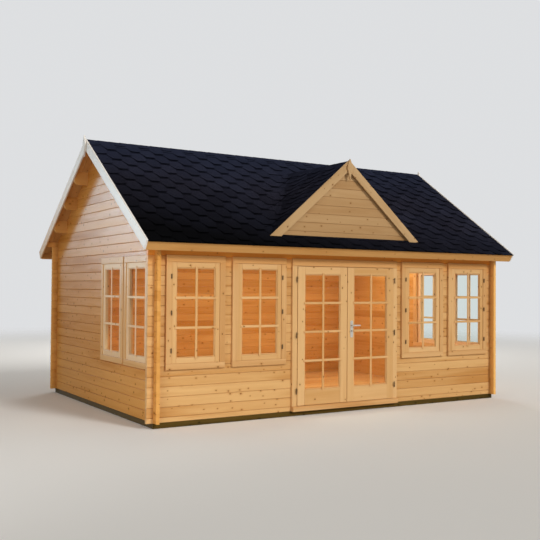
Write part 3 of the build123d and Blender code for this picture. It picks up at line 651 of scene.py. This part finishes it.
# Door leaves
# A pair of glazed leaves, stiles and rails tenoned together round one pane each. Clip-on
# bars divide each pane into two by four.

DOOR_ROWS = 4
for side in ("left", "right"):
    timber_copy(side + "_door_leaf", joinery_wood, edge=JOINERY_EDGE)
    leaf_bars = new_stock()
    for low, high in node_boxes(side + "_door_glass"):
        glazing_bars(leaf_bars, low, high, Vector((0, -1, 0)), SASH_HALF, DOOR_ROWS)
    stock_piece(side + "_door_bars", leaf_bars, joinery_wood, side + "_door")


# Door hinges
# Bronzed steel lift-off hinges, three to a leaf. The lower knuckle is screwed into the jamb by
# a thin pin, and the upper knuckle into the leaf.

DOOR_KNUCKLE_RADIUS = 0.0064
DOOR_KNUCKLE_GAP = 0.001
DOOR_CAP = 0.005
KNUCKLE_EASE = 0.0008
SCREW_PIN_RADIUS = 0.0026
SCREW_PIN_INSET = 0.006


def knuckle(foot, length, cap_side):
    """A round knuckle over its foot, with a domed cap on the end that cap_side names."""
    r = DOOR_KNUCKLE_RADIUS
    outline = [(0.0, r * 0.9), (KNUCKLE_EASE, r), (length - KNUCKLE_EASE, r), (length, r * 0.9)]
    if cap_side < 0:
        outline = [(-DOOR_CAP, r * 0.5), (-DOOR_CAP * 0.4, r * 0.85)] + outline
    else:
        outline += [(length + DOOR_CAP * 0.4, r * 0.85), (length + DOOR_CAP, r * 0.5)]
    return foot, UP, outline


def screw_pin(start, end):
    """A thin pin from a knuckle into the wood."""
    way = Vector(end) - Vector(start)
    return start, way, [(0.0, SCREW_PIN_RADIUS), (way.length, SCREW_PIN_RADIUS)]


axes = {j["name"]: Vector(j["pos_m"]) for j in frame["record"]["behaviour"]["joints"]}
jamb_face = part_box("door_jambs")[0].y
fixed = []
for side, out in (("left", -1), ("right", 1)):
    axis = axes[side + "_door_swing"]
    leaf_low, leaf_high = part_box(side + "_door_leaf")
    leaf_edge = leaf_low.x if out < 0 else leaf_high.x
    moving = []
    for low, high in node_boxes(side + "_door_hinges"):
        length = high.z - low.z
        upper = Vector((axis.x, axis.y, low.z))
        lower = upper - UP * (DOOR_KNUCKLE_GAP + length)
        half = UP * length / 2
        moving.append(knuckle(upper, length, 1))
        seat = (leaf_edge - out * SCREW_PIN_INSET, leaf_low.y, (upper + half).z)
        moving.append(screw_pin(upper + half, seat))
        fixed.append(knuckle(lower, length, -1))
        fixed.append(screw_pin(lower + half, (axis.x, jamb_face, (lower + half).z)))
    turned_piece(side + "_door_knuckles", moving, dark_steel, side + "_door",
                 [side + "_door_hinges"])
turned_piece("door_frame_knuckles", fixed, dark_steel, "cabin", ["door_frame_hinges"])


# Lock plates and lever handle
# Long satin steel plates on both faces of the right leaf, each held by two screws, with a
# dark key cylinder under the lever. The levers turn together in dark collars on one spindle.

PLATE_EASE = 0.0012
LEVER_EASE = 0.0035
KEY_DROP = 0.072
KEY_RADIUS = 0.0085
KEY_PROUD = 0.003
COLLAR_RADIUS = 0.0095
COLLAR_DEPTH = 0.004
COLLAR_CLEAR = 0.0006
SCREW_RADIUS = 0.0036
SCREW_PROUD = 0.0012
SCREW_INSET = 0.018
SCREW_OUTLINE = [(-SCREW_PROUD, SCREW_RADIUS), (SCREW_PROUD * 0.5, SCREW_RADIUS),
                 (SCREW_PROUD, SCREW_RADIUS * 0.6)]
KEY_OUTLINE = [(-KEY_PROUD, KEY_RADIUS), (KEY_PROUD * 0.7, KEY_RADIUS), (KEY_PROUD, KEY_RADIUS * 0.85),
               (KEY_PROUD, KEY_RADIUS * 0.3), (KEY_PROUD * 0.4, KEY_RADIUS * 0.25)]
COLLAR_OUTLINE = [(0.0, COLLAR_RADIUS), (COLLAR_DEPTH * 0.6, COLLAR_RADIUS),
                  (COLLAR_DEPTH, COLLAR_RADIUS * 0.85)]


def metal_copy(node, material, ease, steps):
    mesh = solid_copy(node)
    eased(mesh, ease, steps)
    data = finished(mesh, node + "_metal")
    return placed(node + "_metal", data, material, frame["nodes"][node]["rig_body"], [node])


satin_steel = metal_finish("satin_handle_steel", (0.70, 0.66, 0.60), (0.56, 0.53, 0.48), 0.3, 1.0)
metal_copy("lock_plates", satin_steel, PLATE_EASE, 2)
metal_copy("door_handle", satin_steel, LEVER_EASE, 3)
plate_low, plate_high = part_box("lock_plates")
plate_x = (plate_low.x + plate_high.x) / 2
spindle = axes["door_lever_turn"]
screws = []
cylinders = []
collars = []
for y, out in ((plate_low.y, -1), (plate_high.y, 1)):
    axis = (0, out, 0)
    for z in (plate_low.z + SCREW_INSET, plate_high.z - SCREW_INSET):
        screws.append(((plate_x, y, z), axis, SCREW_OUTLINE))
    cylinders.append(((plate_x, y, spindle.z - KEY_DROP), axis, KEY_OUTLINE))
    collars.append(((spindle.x, y + out * COLLAR_CLEAR, spindle.z), axis, COLLAR_OUTLINE))
turned_piece("lock_plate_screws", screws, satin_steel, "right_door")
turned_piece("key_cylinders", cylinders, dark_steel, "right_door")
turned_piece("lever_collars", collars, dark_steel, "door_lever")


# Purlins
# Planed beams from gable to gable that carry the roof boards, let into the gable logs and
# rounded off at their lower ends under the overhang.

PURLIN_EDGE = 0.004
# The purlins take the darker copy of the log wood, as painted shade under the overhangs.
purlin_wood = timber_finish("purlin_wood", *SHADE_PAINTED_LOG, roughness=0.26, gloss=0.02)
timber_copy("purlins", purlin_wood, edge=PURLIN_EDGE)


# Roof boards
# Tongued and grooved softwood boards from ridge to eaves, nailed to the purlins and the wall
# plates. Their V joints show under the overhangs.

ROOF_PITCH = math.radians(34.5)
ROOF_BOARD = 0.096
ROOF_BOARD_DEPTH = 0.019
ROOF_BOARD_EASE = 0.004

roof_wood = timber_finish("roof_board_wood", (0.72, 0.40, 0.15), (0.52, 0.24, 0.07), (0.20, 0.07, 0.02),
                          roughness=0.55)
for side, node in ((-1, "front_roof_boards"), (1, "rear_roof_boards")):
    low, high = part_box(node)
    down = Vector((0, side * math.cos(ROOF_PITCH), -math.sin(ROOF_PITCH)))
    out = Vector((0, side * math.sin(ROOF_PITCH), math.cos(ROOF_PITCH)))
    eave_y = low.y if side < 0 else high.y
    ridge_under = high.z - ROOF_BOARD_DEPTH / math.cos(ROOF_PITCH)
    start = Vector((0, 0, ridge_under)) + out * ROOF_BOARD_DEPTH / 2
    run = abs(eave_y) / math.cos(ROOF_PITCH) - ROOF_BOARD_DEPTH * math.tan(ROOF_PITCH)
    boards = new_stock()
    count = round((high.x - low.x) / ROOF_BOARD)
    pitch = (high.x - low.x) / count
    for k in range(count):
        head = start + Vector((low.x + (k + 0.5) * pitch, 0, 0))
        add_board(boards, head, head + down * run, (1, 0, 0),
                  pitch - BOARD_GAP, ROOF_BOARD_DEPTH, ROOF_BOARD_EASE)
    stock_piece(node + "_planks", boards, roof_wood, "cabin", [node])


# Eaves boards, barge boards and finials
# Planed boards that close the edges of the roof. The barge boards and finials are the palest
# timber on the cabin, painted near white as a sheen, which gives way to their own honey colour
# towards their rear ends. A kite-shaped finial covers the barge boards' joint.

# The near white of the barge boards and finials is painted sheen; from here towards the rear it gives way to
# their honey colour.
PAINTED_SHEEN_TO = -0.05
HONEY_FROM = 1.7
HONEY = (0.72, 0.42, 0.16)
HONEY_SHARE = 0.85
eaves_wood = timber_finish("eaves_board_wood", (0.76, 0.44, 0.16), (0.60, 0.29, 0.085), (0.22, 0.09, 0.02),
                           roughness=0.45, knot_share=0.3)
sheen_painted_wood = timber_finish("sheen_painted_barge_wood", (0.90, 0.87, 0.83), (0.80, 0.745, 0.68), (0.58, 0.48, 0.40),
                          roughness=0.34, knot_share=0.15, red=0.2, gloss=0.02)
faded(sheen_painted_wood, "Y", PAINTED_SHEEN_TO, HONEY_FROM, HONEY_SHARE, HONEY)
for node in ("front_eaves_board", "rear_eaves_board"):
    timber_copy(node, eaves_wood)
for node in ("left_barge_boards", "right_barge_boards", "left_finial", "right_finial"):
    timber_copy(node, sheen_painted_wood)


# Dormer front
# A closed triangle of level boards with V joints, nailed behind two honey-coloured barge
# boards that meet under a small finial.

DORMER_PITCH = math.radians(40.7)
DORMER_BOARD = 0.114
DORMER_FIRST_BOARD = 0.062
DORMER_EASE = 0.005
DORMER_TOP_CLEAR = 0.004

dormer_wood = timber_finish("dormer_board_wood", (0.56, 0.36, 0.178), (0.41, 0.225, 0.09), (0.17, 0.07, 0.02))
dormer_trim = timber_finish("dormer_barge_wood", (0.64, 0.44, 0.235), (0.50, 0.31, 0.145), (0.17, 0.07, 0.02),
                            knot_share=0.5)
low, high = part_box("dormer_gable")
boards = new_stock()
thick = high.y - low.y
joints = [low.z]
while joints[-1] < high.z - DORMER_BOARD / 3:
    joints.append(low.z + DORMER_FIRST_BOARD + (len(joints) - 1) * DORMER_BOARD)
for base, next_base in zip(joints, joints[1:]):
    top = min(next_base - BOARD_GAP, high.z - DORMER_TOP_CLEAR)
    profile = eased_rectangle(top - base, thick, DORMER_EASE)
    rings = []
    for end in (-1, 1):
        ring = []
        for rise, depth in profile:
            z = (base + top) / 2 + rise
            ring.append((end * (high.z - z) / math.tan(DORMER_PITCH), (low.y + high.y) / 2 + depth, z))
        rings.append(ring)
    add_prism(boards, rings[0], rings[1], profile)
stock_piece("dormer_front_boards", boards, dormer_wood, "cabin", ["dormer_gable"])
timber_copy("dormer_roof_boards", roof_wood)
timber_copy("dormer_barge_boards", dormer_trim)
timber_copy("dormer_finial", dormer_trim)


# Shingles
# Bitumen shingles with hexagonal tabs and dark mineral granules, nailed in rows that break
# joint. At the dormer the rows turn through the valley and run on along its slopes.

TAB_PITCH = 0.333
TAB_FOOT = 0.125
TAB_FLARE = TAB_PITCH / 2 - TAB_FOOT
ROW_EXPOSURE = 0.1345
FIRST_EXPOSURE = 0.0925
FIRST_TAB = -0.078
TAB_STRAY = 0.008
TAB_LIFT = 0.0012
SLOT_SHARE = 0.98
SHINGLE = 0.0045
FOOT_CURL = 0.012
FLAT_END = 0.15  # tabs lie flat this near to a verge
END_TONE = 0.5
# The cut edges are bare bitumen, and their near black is also painted shadow along the tabs' lower edges.
CUT_EDGE = 2.0  # tone of a tab's cut edge, darker than any face
GRANULE_SCALE = 520.0
GRANULE_HEIGHT = 0.001
DARK_GRANULE = (0.0128, 0.0127, 0.0205)
PALE_GRANULE = (0.068, 0.067, 0.103)
BLUE_CLOUD = (0.025, 0.029, 0.052)
CLOUD_STRETCH = (1.3, 1.3, 1.3)
DARK_TAB = (0.0088, 0.0087, 0.0142)
# A painted reflection of the sky: the shingles go bluish towards the ridge.
PAINTED_SKY_REFLECTION = (0.020, 0.027, 0.055)
SKY_REFLECTION_FROM = 2.9
SKY_REFLECTION_FULL = 3.4
# Painted shade: the shingles go nearly black towards the eaves.
ROOF_PAINTED_SHADE = (0.0032, 0.0032, 0.0036)
ROOF_SHADE_FROM = 2.78
ROOF_SHADE_FULL = 1.92
ROOF_SHADE_LEAN = 0.13  # the painted shade reaches further up towards the roof's left end
CUT_BITUMEN_AND_SHADOW = (0.0008, 0.0008, 0.0009)
CAD_SHINGLE = 0.006
VALLEY_RADIUS = 0.11
VALLEY_SHARE = 0.8
VALLEY_STEPS = 8
DORMER_END = 0.34  # no slots this near to the back end of the dormer's ridge
ROW_RISE = ROW_EXPOSURE * math.sin(ROOF_PITCH)
ROW_REACH = 2.0  # a row runs up under the next one, to twice its exposure
STATION_GAP = 0.0005
NO_STRETCH = (0.0, 0.0)


def shingle_finish():
    material, tree, shader = new_finish("granule_shingle")
    place = add(tree, "ShaderNodeTexCoord").outputs["Object"]
    parted = add(tree, "ShaderNodeSeparateXYZ", {"Vector": place})
    height = parted.outputs["Z"]
    lean = added(tree, parted.outputs["X"], ROOF_SHADE_LEAN, "MULTIPLY")
    tone = add(tree, "ShaderNodeAttribute", attribute_name="tone").outputs["Fac"]
    granules = add(tree, "ShaderNodeTexVoronoi", {"Vector": place, "Scale": GRANULE_SCALE})
    speck = ranged(tree, granules.outputs["Color"], 0.55, 0.95)
    cloud = noise_over(tree, place, CLOUD_STRETCH)
    grain = mixed(tree, speck, DARK_GRANULE, PALE_GRANULE)
    blue = mixed(tree, ranged(tree, cloud, 0.4, 0.7, 0.0, 0.5), grain, BLUE_CLOUD)
    toned = mixed(tree, ranged(tree, tone, 0.0, 1.0, 0.0, 0.5), blue, DARK_TAB)
    # painted sky reflection towards the ridge
    painted_sky_reflection = mixed(tree, ranged(tree, height, SKY_REFLECTION_FROM, SKY_REFLECTION_FULL, 0.0, 0.5), toned, PAINTED_SKY_REFLECTION)
    # painted shade towards the eaves
    roof_shade = ranged(tree, added(tree, height, lean), ROOF_SHADE_FROM, ROOF_SHADE_FULL, 0.0, 0.97)
    face = mixed(tree, roof_shade, painted_sky_reflection, ROOF_PAINTED_SHADE)
    cut = ranged(tree, tone, 1.5, CUT_EDGE)
    tree.links.new(mixed(tree, cut, face, CUT_BITUMEN_AND_SHADOW), shader.inputs["Base Color"])
    tree.links.new(ranged(tree, speck, 0.0, 1.0, 0.95, 0.7), shader.inputs["Roughness"])
    shader.inputs["Specular IOR Level"].default_value = 0.0
    bumped(tree, shader, granules.outputs["Distance"], 0.5, GRANULE_HEIGHT)
    return material


shingle = shingle_finish()
roof_low, roof_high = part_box("front_roof_shingles")
dormer_low, dormer_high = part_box("dormer_roof_shingles")
RIDGE_BASE = roof_high.z - CAD_SHINGLE / math.cos(ROOF_PITCH)
DORMER_BASE = dormer_high.z - CAD_SHINGLE / math.cos(DORMER_PITCH)
EAVES_BASE = RIDGE_BASE + roof_low.y * math.tan(ROOF_PITCH)
MAIN_NORMAL = Vector((0, -math.sin(ROOF_PITCH), math.cos(ROOF_PITCH)))
DORMER_NORMAL = Vector((-math.sin(DORMER_PITCH), 0, math.cos(DORMER_PITCH)))


def main_y(z):
    """The front slope's level line at a height."""
    return -(RIDGE_BASE - z) / math.tan(ROOF_PITCH)


def dormer_x(z):
    """The level line of the dormer's left slope at a height."""
    return -(DORMER_BASE - z) / math.tan(DORMER_PITCH)


def straight_row(reach):
    """A row right across the front slope: a function from the distance along it and a height to a place."""
    def place(t, height):
        height = min(height, RIDGE_BASE - SHINGLE)
        return Vector((t - reach, main_y(height), height)), MAIN_NORMAL
    return place, 2 * reach, []


def valley_row(z, reach):
    """A row from the left verge, round the valley and out along the dormer's left slope to its front."""
    corner_x, corner_y = dormer_x(z), main_y(z)
    run_out = corner_y - dormer_low.y
    radius = min(VALLEY_RADIUS, run_out * VALLEY_SHARE, -corner_x * VALLEY_SHARE)
    first = corner_x - radius + reach
    arc = radius * math.pi / 2
    total = first + arc + run_out - radius
    top = DORMER_BASE - SHINGLE

    def place(t, height):
        if t <= first:
            height = min(height, RIDGE_BASE - SHINGLE)
            return Vector((t - reach, main_y(height), height)), MAIN_NORMAL
        height = min(height, top)
        if t >= first + arc:
            y = corner_y - radius - (t - first - arc)
            return Vector((dormer_x(height), y, height)), DORMER_NORMAL
        share = (t - first) / arc
        angle = share * math.pi / 2
        x = dormer_x(height) - radius + radius * math.sin(angle)
        y = main_y(height) - radius + radius * math.cos(angle)
        return Vector((x, y, height)), MAIN_NORMAL.lerp(DORMER_NORMAL, share).normalized()
    bends = [first + arc * k / VALLEY_STEPS for k in range(VALLEY_STEPS + 1)]
    return place, total, bends


def row_stations(total, shift, bends):
    """Where a row's lower edge changes direction: at the ends of each foot and of each slot's flat top."""
    corners = (TAB_FOOT / 2, TAB_FOOT / 2 + TAB_FLARE,
               TAB_FOOT * 1.5 + TAB_FLARE, TAB_FOOT * 1.5 + 2 * TAB_FLARE)
    marks = {0.0, total}
    k = -1
    while k * TAB_PITCH + shift < total:
        marks.update(k * TAB_PITCH + shift + corner for corner in corners)
        k += 1
    marks.update(bends)
    ordered = sorted(m for m in marks if 0 <= m <= total)
    return [m for m, n in zip(ordered, ordered[1:] + [math.inf]) if n - m > STATION_GAP]


def slot_height(t, shift):
    """How far the lower edge lies over the foot of its tab, as a share of the row."""
    from_middle = abs((t - shift) % TAB_PITCH - TAB_PITCH / 2)
    rise = (from_middle - TAB_FOOT / 2) / TAB_FLARE
    return SLOT_SHARE * min(max(rise, 0.0), 1.0)


def add_row(stock, row, z, shift, flip, plain=False, whole=NO_STRETCH):
    """One row of tabs: a closed strip that lies on the row below and runs up under the row above.
    It is flat and uncut in the stretch that whole gives. A plain row is flat and uncut all along,
    and a plain one with bends starts at the first of them."""
    place, total, bends = row
    mirror = Vector((-1 if flip[0] else 1, -1 if flip[1] else 1, 1))
    lifts = {}
    base = len(stock["verts"])
    stations = row_stations(total, shift, bends)
    if plain and bends:
        stations = [t for t in stations if t >= bends[0]]
    for t in stations:
        tab = math.floor((t - shift) / TAB_PITCH)
        lift = lifts.setdefault(tab, draw.uniform(0.0, TAB_LIFT))
        flat = plain or whole[0] < t < whole[1]
        low = 0.0 if flat else slot_height(t, shift)
        held = min(t / FLAT_END, (total - t) / FLAT_END, 1.0)
        curl = 0.0 if flat else FOOT_CURL * held * (1.0 - low / SLOT_SHARE)
        for share in (low, ROW_REACH):
            spot, normal = place(t, z + share * ROW_RISE)
            under = SHINGLE * (ROW_REACH - share) + (lift + curl) * (1.0 - share / ROW_REACH)
            for height in (under, under + SHINGLE):
                point = spot + normal * height
                stock["verts"].append(Vector((point.x * mirror.x, point.y * mirror.y, point.z)))
    tones = {}
    for k, t in enumerate(stations[:-1]):
        a, b = base + 4 * k, base + 4 * k + 4
        middle = (t + stations[k + 1]) / 2
        tone = tones.setdefault(math.floor((middle - shift) / TAB_PITCH), draw.random())
        stock["faces"] += [(a + 1, b + 1, b + 3, a + 3), (a, a + 2, b + 2, b),
                           (a, b, b + 1, a + 1), (a + 2, a + 3, b + 3, b + 2)]
        stock["tones"] += [tone, tone, CUT_EDGE, CUT_EDGE]
    end = base + 4 * (len(stations) - 1)
    for a in (base, end):
        stock["faces"].append((a, a + 1, a + 3, a + 2))
        stock["tones"].append(END_TONE)


front_rows = new_stock()
rear_rows = new_stock()
DORMER_FOOT = RIDGE_BASE + dormer_low.y * math.tan(ROOF_PITCH)
VALLEY_START = 0.012
VALLEY_STOP = 0.03
DORMER_STRETCH = (roof_high.x + dormer_low.x, roof_high.x + dormer_high.x)
RIDGE_END_STRETCH = (roof_high.x - DORMER_END, roof_high.x + DORMER_END)
add_row(front_rows, straight_row(roof_high.x), EAVES_BASE, 0.0, (False, False), plain=True)
add_row(rear_rows, straight_row(roof_high.x), EAVES_BASE, 0.0, (False, True), plain=True)
valley_foot = DORMER_FOOT + VALLEY_START
for mirrored in (False, True):
    add_row(front_rows, valley_row(valley_foot, roof_high.x), valley_foot, 0.0, (mirrored, False), plain=True)
z = EAVES_BASE
k = 0
while z < RIDGE_BASE - SHINGLE:
    shift = FIRST_TAB + (k % 2) * TAB_PITCH / 2 + draw.uniform(-TAB_STRAY, TAB_STRAY)
    add_row(rear_rows, straight_row(roof_high.x), z, shift, (False, True))
    if valley_foot < z < DORMER_BASE - VALLEY_STOP:
        for mirrored in (False, True):
            add_row(front_rows, valley_row(z, roof_high.x), z, shift, (mirrored, False))
    else:
        at_foot = DORMER_STRETCH if abs(z - DORMER_FOOT) < ROW_RISE / 2 else NO_STRETCH
        whole = RIDGE_END_STRETCH if abs(z - DORMER_BASE) < ROW_RISE / 2 else at_foot
        add_row(front_rows, straight_row(roof_high.x), z, shift, (False, False), whole=whole)
    z = EAVES_BASE + FIRST_EXPOSURE * math.sin(ROOF_PITCH) + k * ROW_RISE
    k += 1
stock_piece("front_shingle_rows", front_rows, shingle, "cabin",
            ["front_roof_shingles", "dormer_roof_shingles"])
stock_piece("rear_shingle_rows", rear_rows, shingle, "cabin", ["rear_roof_shingles"])


# Ridge tabs
# Single shingle tabs folded over the ridges and lapped along them, so that each covers the
# nails of the one before.

RIDGE_TAB = 0.25
RIDGE_STEP = 0.148
RIDGE_HALF = 0.125
RIDGE_FOLD = 0.012
RIDGE_LIFT = 0.012
RIDGE_STRAY = 0.001
DORMER_RIDGE_HALF = 0.10
DORMER_RIDGE_LIFT = 0.010


def add_ridge_tab(stock, start, along, side, pitch, half, lift):
    """A folded tab whose far end is lifted over the next one."""
    base = len(stock["verts"])
    slope = math.tan(pitch)
    shoulder = -RIDGE_FOLD * slope
    profile = [(-half, -half * slope), (-RIDGE_FOLD, shoulder), (0.0, shoulder * 0.35),
               (RIDGE_FOLD, shoulder), (half, -half * slope)]
    for step, rise in ((0.0, lift + SHINGLE), (RIDGE_TAB, lift)):
        for height in (0.0, SHINGLE / math.cos(pitch)):
            for across, drop in profile:
                stock["verts"].append(start + along * step + side * across + UP * (drop + rise + height))
    n = len(profile)
    faces = []
    for k in range(n - 1):
        lower, upper, far, far_up = base + k, base + n + k, base + 2 * n + k, base + 3 * n + k
        faces += [(lower, far, far + 1, lower + 1), (upper, upper + 1, far_up + 1, far_up),
                  (lower, lower + 1, upper + 1, upper), (far, far_up, far_up + 1, far + 1)]
    for k in (0, n - 1):
        faces.append((base + k, base + n + k, base + 3 * n + k, base + 2 * n + k))
    stock["faces"] += faces
    stock["tones"] += [draw.random()] * len(faces)


cap_low, cap_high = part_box("ridge_cap")
tabs = new_stock()
x = cap_low.x
while x < cap_high.x - RIDGE_TAB / 2:
    start = min(x, cap_high.x - RIDGE_TAB)
    seat = Vector((start, 0, RIDGE_BASE + RIDGE_LIFT))
    add_ridge_tab(tabs, seat, Vector((1, 0, 0)), Vector((0, 1, 0)), ROOF_PITCH,
                  RIDGE_HALF, draw.uniform(0.0, RIDGE_STRAY))
    x += RIDGE_STEP
y = dormer_low.y
while y < main_y(DORMER_BASE) + RIDGE_STEP:
    seat = Vector((0, y, DORMER_BASE + DORMER_RIDGE_LIFT))
    add_ridge_tab(tabs, seat, Vector((0, 1, 0)), Vector((1, 0, 0)), DORMER_PITCH,
                  DORMER_RIDGE_HALF, draw.uniform(0.0, RIDGE_STRAY))
    y += RIDGE_STEP
stock_piece("ridge_shingle_tabs", tabs, shingle, "cabin", ["ridge_cap"])


# Studio
# A pale floor that fades into a white surround, and the camera where the cabin was seen from.
# A soft key lamp shines from the front right, with a fill lamp at the left, one behind and one
# in the room. A cool card at the left rear only shows as a sheen.

FLOOR_RADIUS = 40.0
FLOOR_STEPS = 96
FLOOR_ROUGHNESS = 0.9
FLOOR_FADE_START = 8.0
FLOOR_FADE_END = 22.0
FLOOR_SEEN = (0.82, 0.815, 0.80)
FLOOR_BOUNCE = (0.60, 0.586, 0.562)
SURROUND = (0.985, 1.0, 1.02)
SURROUND_SEEN = 0.74
AMBIENT_FRONT = 0.56
AMBIENT_REAR = 0.24
AMBIENT_TINT = (1.0, 0.96, 0.90)


def seen_share(tree):
    """1 for what the camera sees straight, in metal or through glass, and 0 for other light."""
    path = add(tree, "ShaderNodeLightPath")
    direct = added(tree, path.outputs["Is Camera Ray"], path.outputs["Is Transmission Ray"], "MAXIMUM")
    return added(tree, direct, path.outputs["Is Glossy Ray"], "MAXIMUM")


floor_mesh = bmesh.new()
bmesh.ops.create_circle(floor_mesh, cap_ends=True, segments=FLOOR_STEPS, radius=FLOOR_RADIUS)
data = finished(floor_mesh, "studio_floor")
studio_floor = in_scene("studio_floor", data)
material, tree, shader = new_finish("studio_floor_pale")
place = add(tree, "ShaderNodeTexCoord").outputs["Object"]
tree.links.new(mixed(tree, seen_share(tree), FLOOR_BOUNCE, FLOOR_SEEN), shader.inputs["Base Color"])
shader.inputs["Roughness"].default_value = FLOOR_ROUGHNESS
shader.inputs["Specular IOR Level"].default_value = 0.0
distance = add(tree, "ShaderNodeVectorMath", {0: place}, operation="LENGTH").outputs["Value"]
fade = add(tree, "ShaderNodeMapRange", {"Value": distance, "From Min": FLOOR_FADE_START,
                                        "From Max": FLOOR_FADE_END}, interpolation_type="SMOOTHSTEP")
open_air = add(tree, "ShaderNodeBsdfTransparent")
both = add(tree, "ShaderNodeMixShader", {0: fade.outputs[0], 1: shader.outputs[0], 2: open_air.outputs[0]})
tree.links.new(both.outputs[0], tree.nodes["Material Output"].inputs["Surface"])
data.materials.append(material)

world = bpy.data.worlds.new("studio_surround")
bpy.context.scene.world = world
world.use_nodes = True
tree = world.node_tree
seen = seen_share(tree)
way = add(tree, "ShaderNodeTexCoord").outputs["Generated"]
rearward = add(tree, "ShaderNodeSeparateXYZ", {"Vector": way}).outputs["Y"]
ambient = ranged(tree, rearward, -1.0, 1.0, AMBIENT_FRONT, AMBIENT_REAR)
tree.links.new(mixed(tree, seen, AMBIENT_TINT, SURROUND), tree.nodes["Background"].inputs["Color"])
strength = ranged(tree, seen, 0.0, 1.0, ambient, SURROUND_SEEN)
tree.links.new(strength, tree.nodes["Background"].inputs["Strength"])

KEY_STRENGTH = 1.58
KEY_COLOUR = (1.0, 0.985, 0.955)
KEY_SOFTNESS = math.radians(14.0)
KEY_BEARING = math.radians(-18.0)
KEY_HEIGHT = math.radians(29.0)
key = bpy.data.lights.new("key_lamp", "SUN")
key.energy = KEY_STRENGTH
key.angle = KEY_SOFTNESS
key.color = KEY_COLOUR
key_object = in_scene("key_lamp", key)
toward = Vector((math.sin(KEY_BEARING) * math.cos(KEY_HEIGHT), math.cos(KEY_BEARING) * math.cos(KEY_HEIGHT),
                 -math.sin(KEY_HEIGHT)))
key_object.rotation_euler = toward.to_track_quat("-Z", "Y").to_euler()

CARD_PLACE = Vector((-11.0, 14.2, 4.2))
CARD_AIM = Vector((-2.7, 0.0, 2.7))
CARD_WATTS = 2600.0
CARD_SIZE = (4.8, 4.0)
CARD_COLOUR = (0.68, 0.88, 1.0)
FILL_PLACE = Vector((-7.2, -4.6, 1.6))
FILL_AIM = Vector((-2.7, -1.6, 0.9))
FILL_WATTS = 15.0
FILL_SIZE = (2.5, 2.5)
FILL_SPREAD = math.radians(70.0)
REAR_PLACE = Vector((5.5, 9.5, 5.5))
REAR_AIM = Vector((0.0, 1.5, 1.5))
REAR_WATTS = 420.0
REAR_SIZE = (5.0, 5.0)
ROOM_PLACE = Vector((0.35, 0.0, 2.3))
ROOM_WATTS = 78.0
ROOM_SIZE = (4.4, 1.6)
ROOM_COLOUR = (1.0, 0.88, 0.70)
WHITE = (1.0, 1.0, 1.0)


def area_lamp(name, place, aim, watts, size, colour=WHITE):
    """A soft lamp that the camera doesn't see. It shines at its aim, or straight down without one."""
    lamp = bpy.data.lights.new(name, "AREA")
    lamp.energy = watts
    lamp.color = colour
    lamp.shape = "RECTANGLE"
    lamp.size, lamp.size_y = size
    lamp_object = in_scene(name, lamp)
    lamp_object.location = place
    if aim is not None:
        lamp_object.rotation_euler = (aim - place).to_track_quat("-Z", "Y").to_euler()
    lamp_object.visible_camera = False
    return lamp_object


card = area_lamp("sheen_card", CARD_PLACE, CARD_AIM, CARD_WATTS, CARD_SIZE, CARD_COLOUR)
card.visible_diffuse = False
fill_lamp = area_lamp("fill_lamp", FILL_PLACE, FILL_AIM, FILL_WATTS, FILL_SIZE)
fill_lamp.data.spread = FILL_SPREAD
rear_lamp = area_lamp("rear_lamp", REAR_PLACE, REAR_AIM, REAR_WATTS, REAR_SIZE)
rear_lamp.visible_transmission = False
room_lamp = area_lamp("room_lamp", ROOM_PLACE, None, ROOM_WATTS, ROOM_SIZE, ROOM_COLOUR)
room_lamp.visible_transmission = False

CAMERA_PLACE = Vector((-6.3235, -10.1565, 1.5895))
CAMERA_YAW = math.radians(31.7753)
CAMERA_PITCH = math.radians(1.2378)
CAMERA_ROLL = math.radians(0.4171)
FOCAL_PIXELS = 806.107
FRAME_PIXELS = 540.0
SENSOR_WIDTH = 36.0
camera = bpy.data.cameras.new("studio_camera")
camera.sensor_width = SENSOR_WIDTH
camera.lens = FOCAL_PIXELS / FRAME_PIXELS * SENSOR_WIDTH
camera_object = in_scene("studio_camera", camera)
ahead = Vector((math.sin(CAMERA_YAW) * math.cos(CAMERA_PITCH), math.cos(CAMERA_YAW) * math.cos(CAMERA_PITCH),
                math.sin(CAMERA_PITCH)))
level = Vector((math.cos(CAMERA_YAW), -math.sin(CAMERA_YAW), 0.0))
above = level.cross(ahead)
right = level * math.cos(CAMERA_ROLL) + above * math.sin(CAMERA_ROLL)
above = above * math.cos(CAMERA_ROLL) - level * math.sin(CAMERA_ROLL)
turn = Matrix((right, above, -ahead)).transposed()
camera_object.matrix_world = Matrix.Translation(CAMERA_PLACE) @ turn.to_4x4()
bpy.context.scene.camera = camera_object
bpy.context.scene.view_settings.view_transform = "Standard"
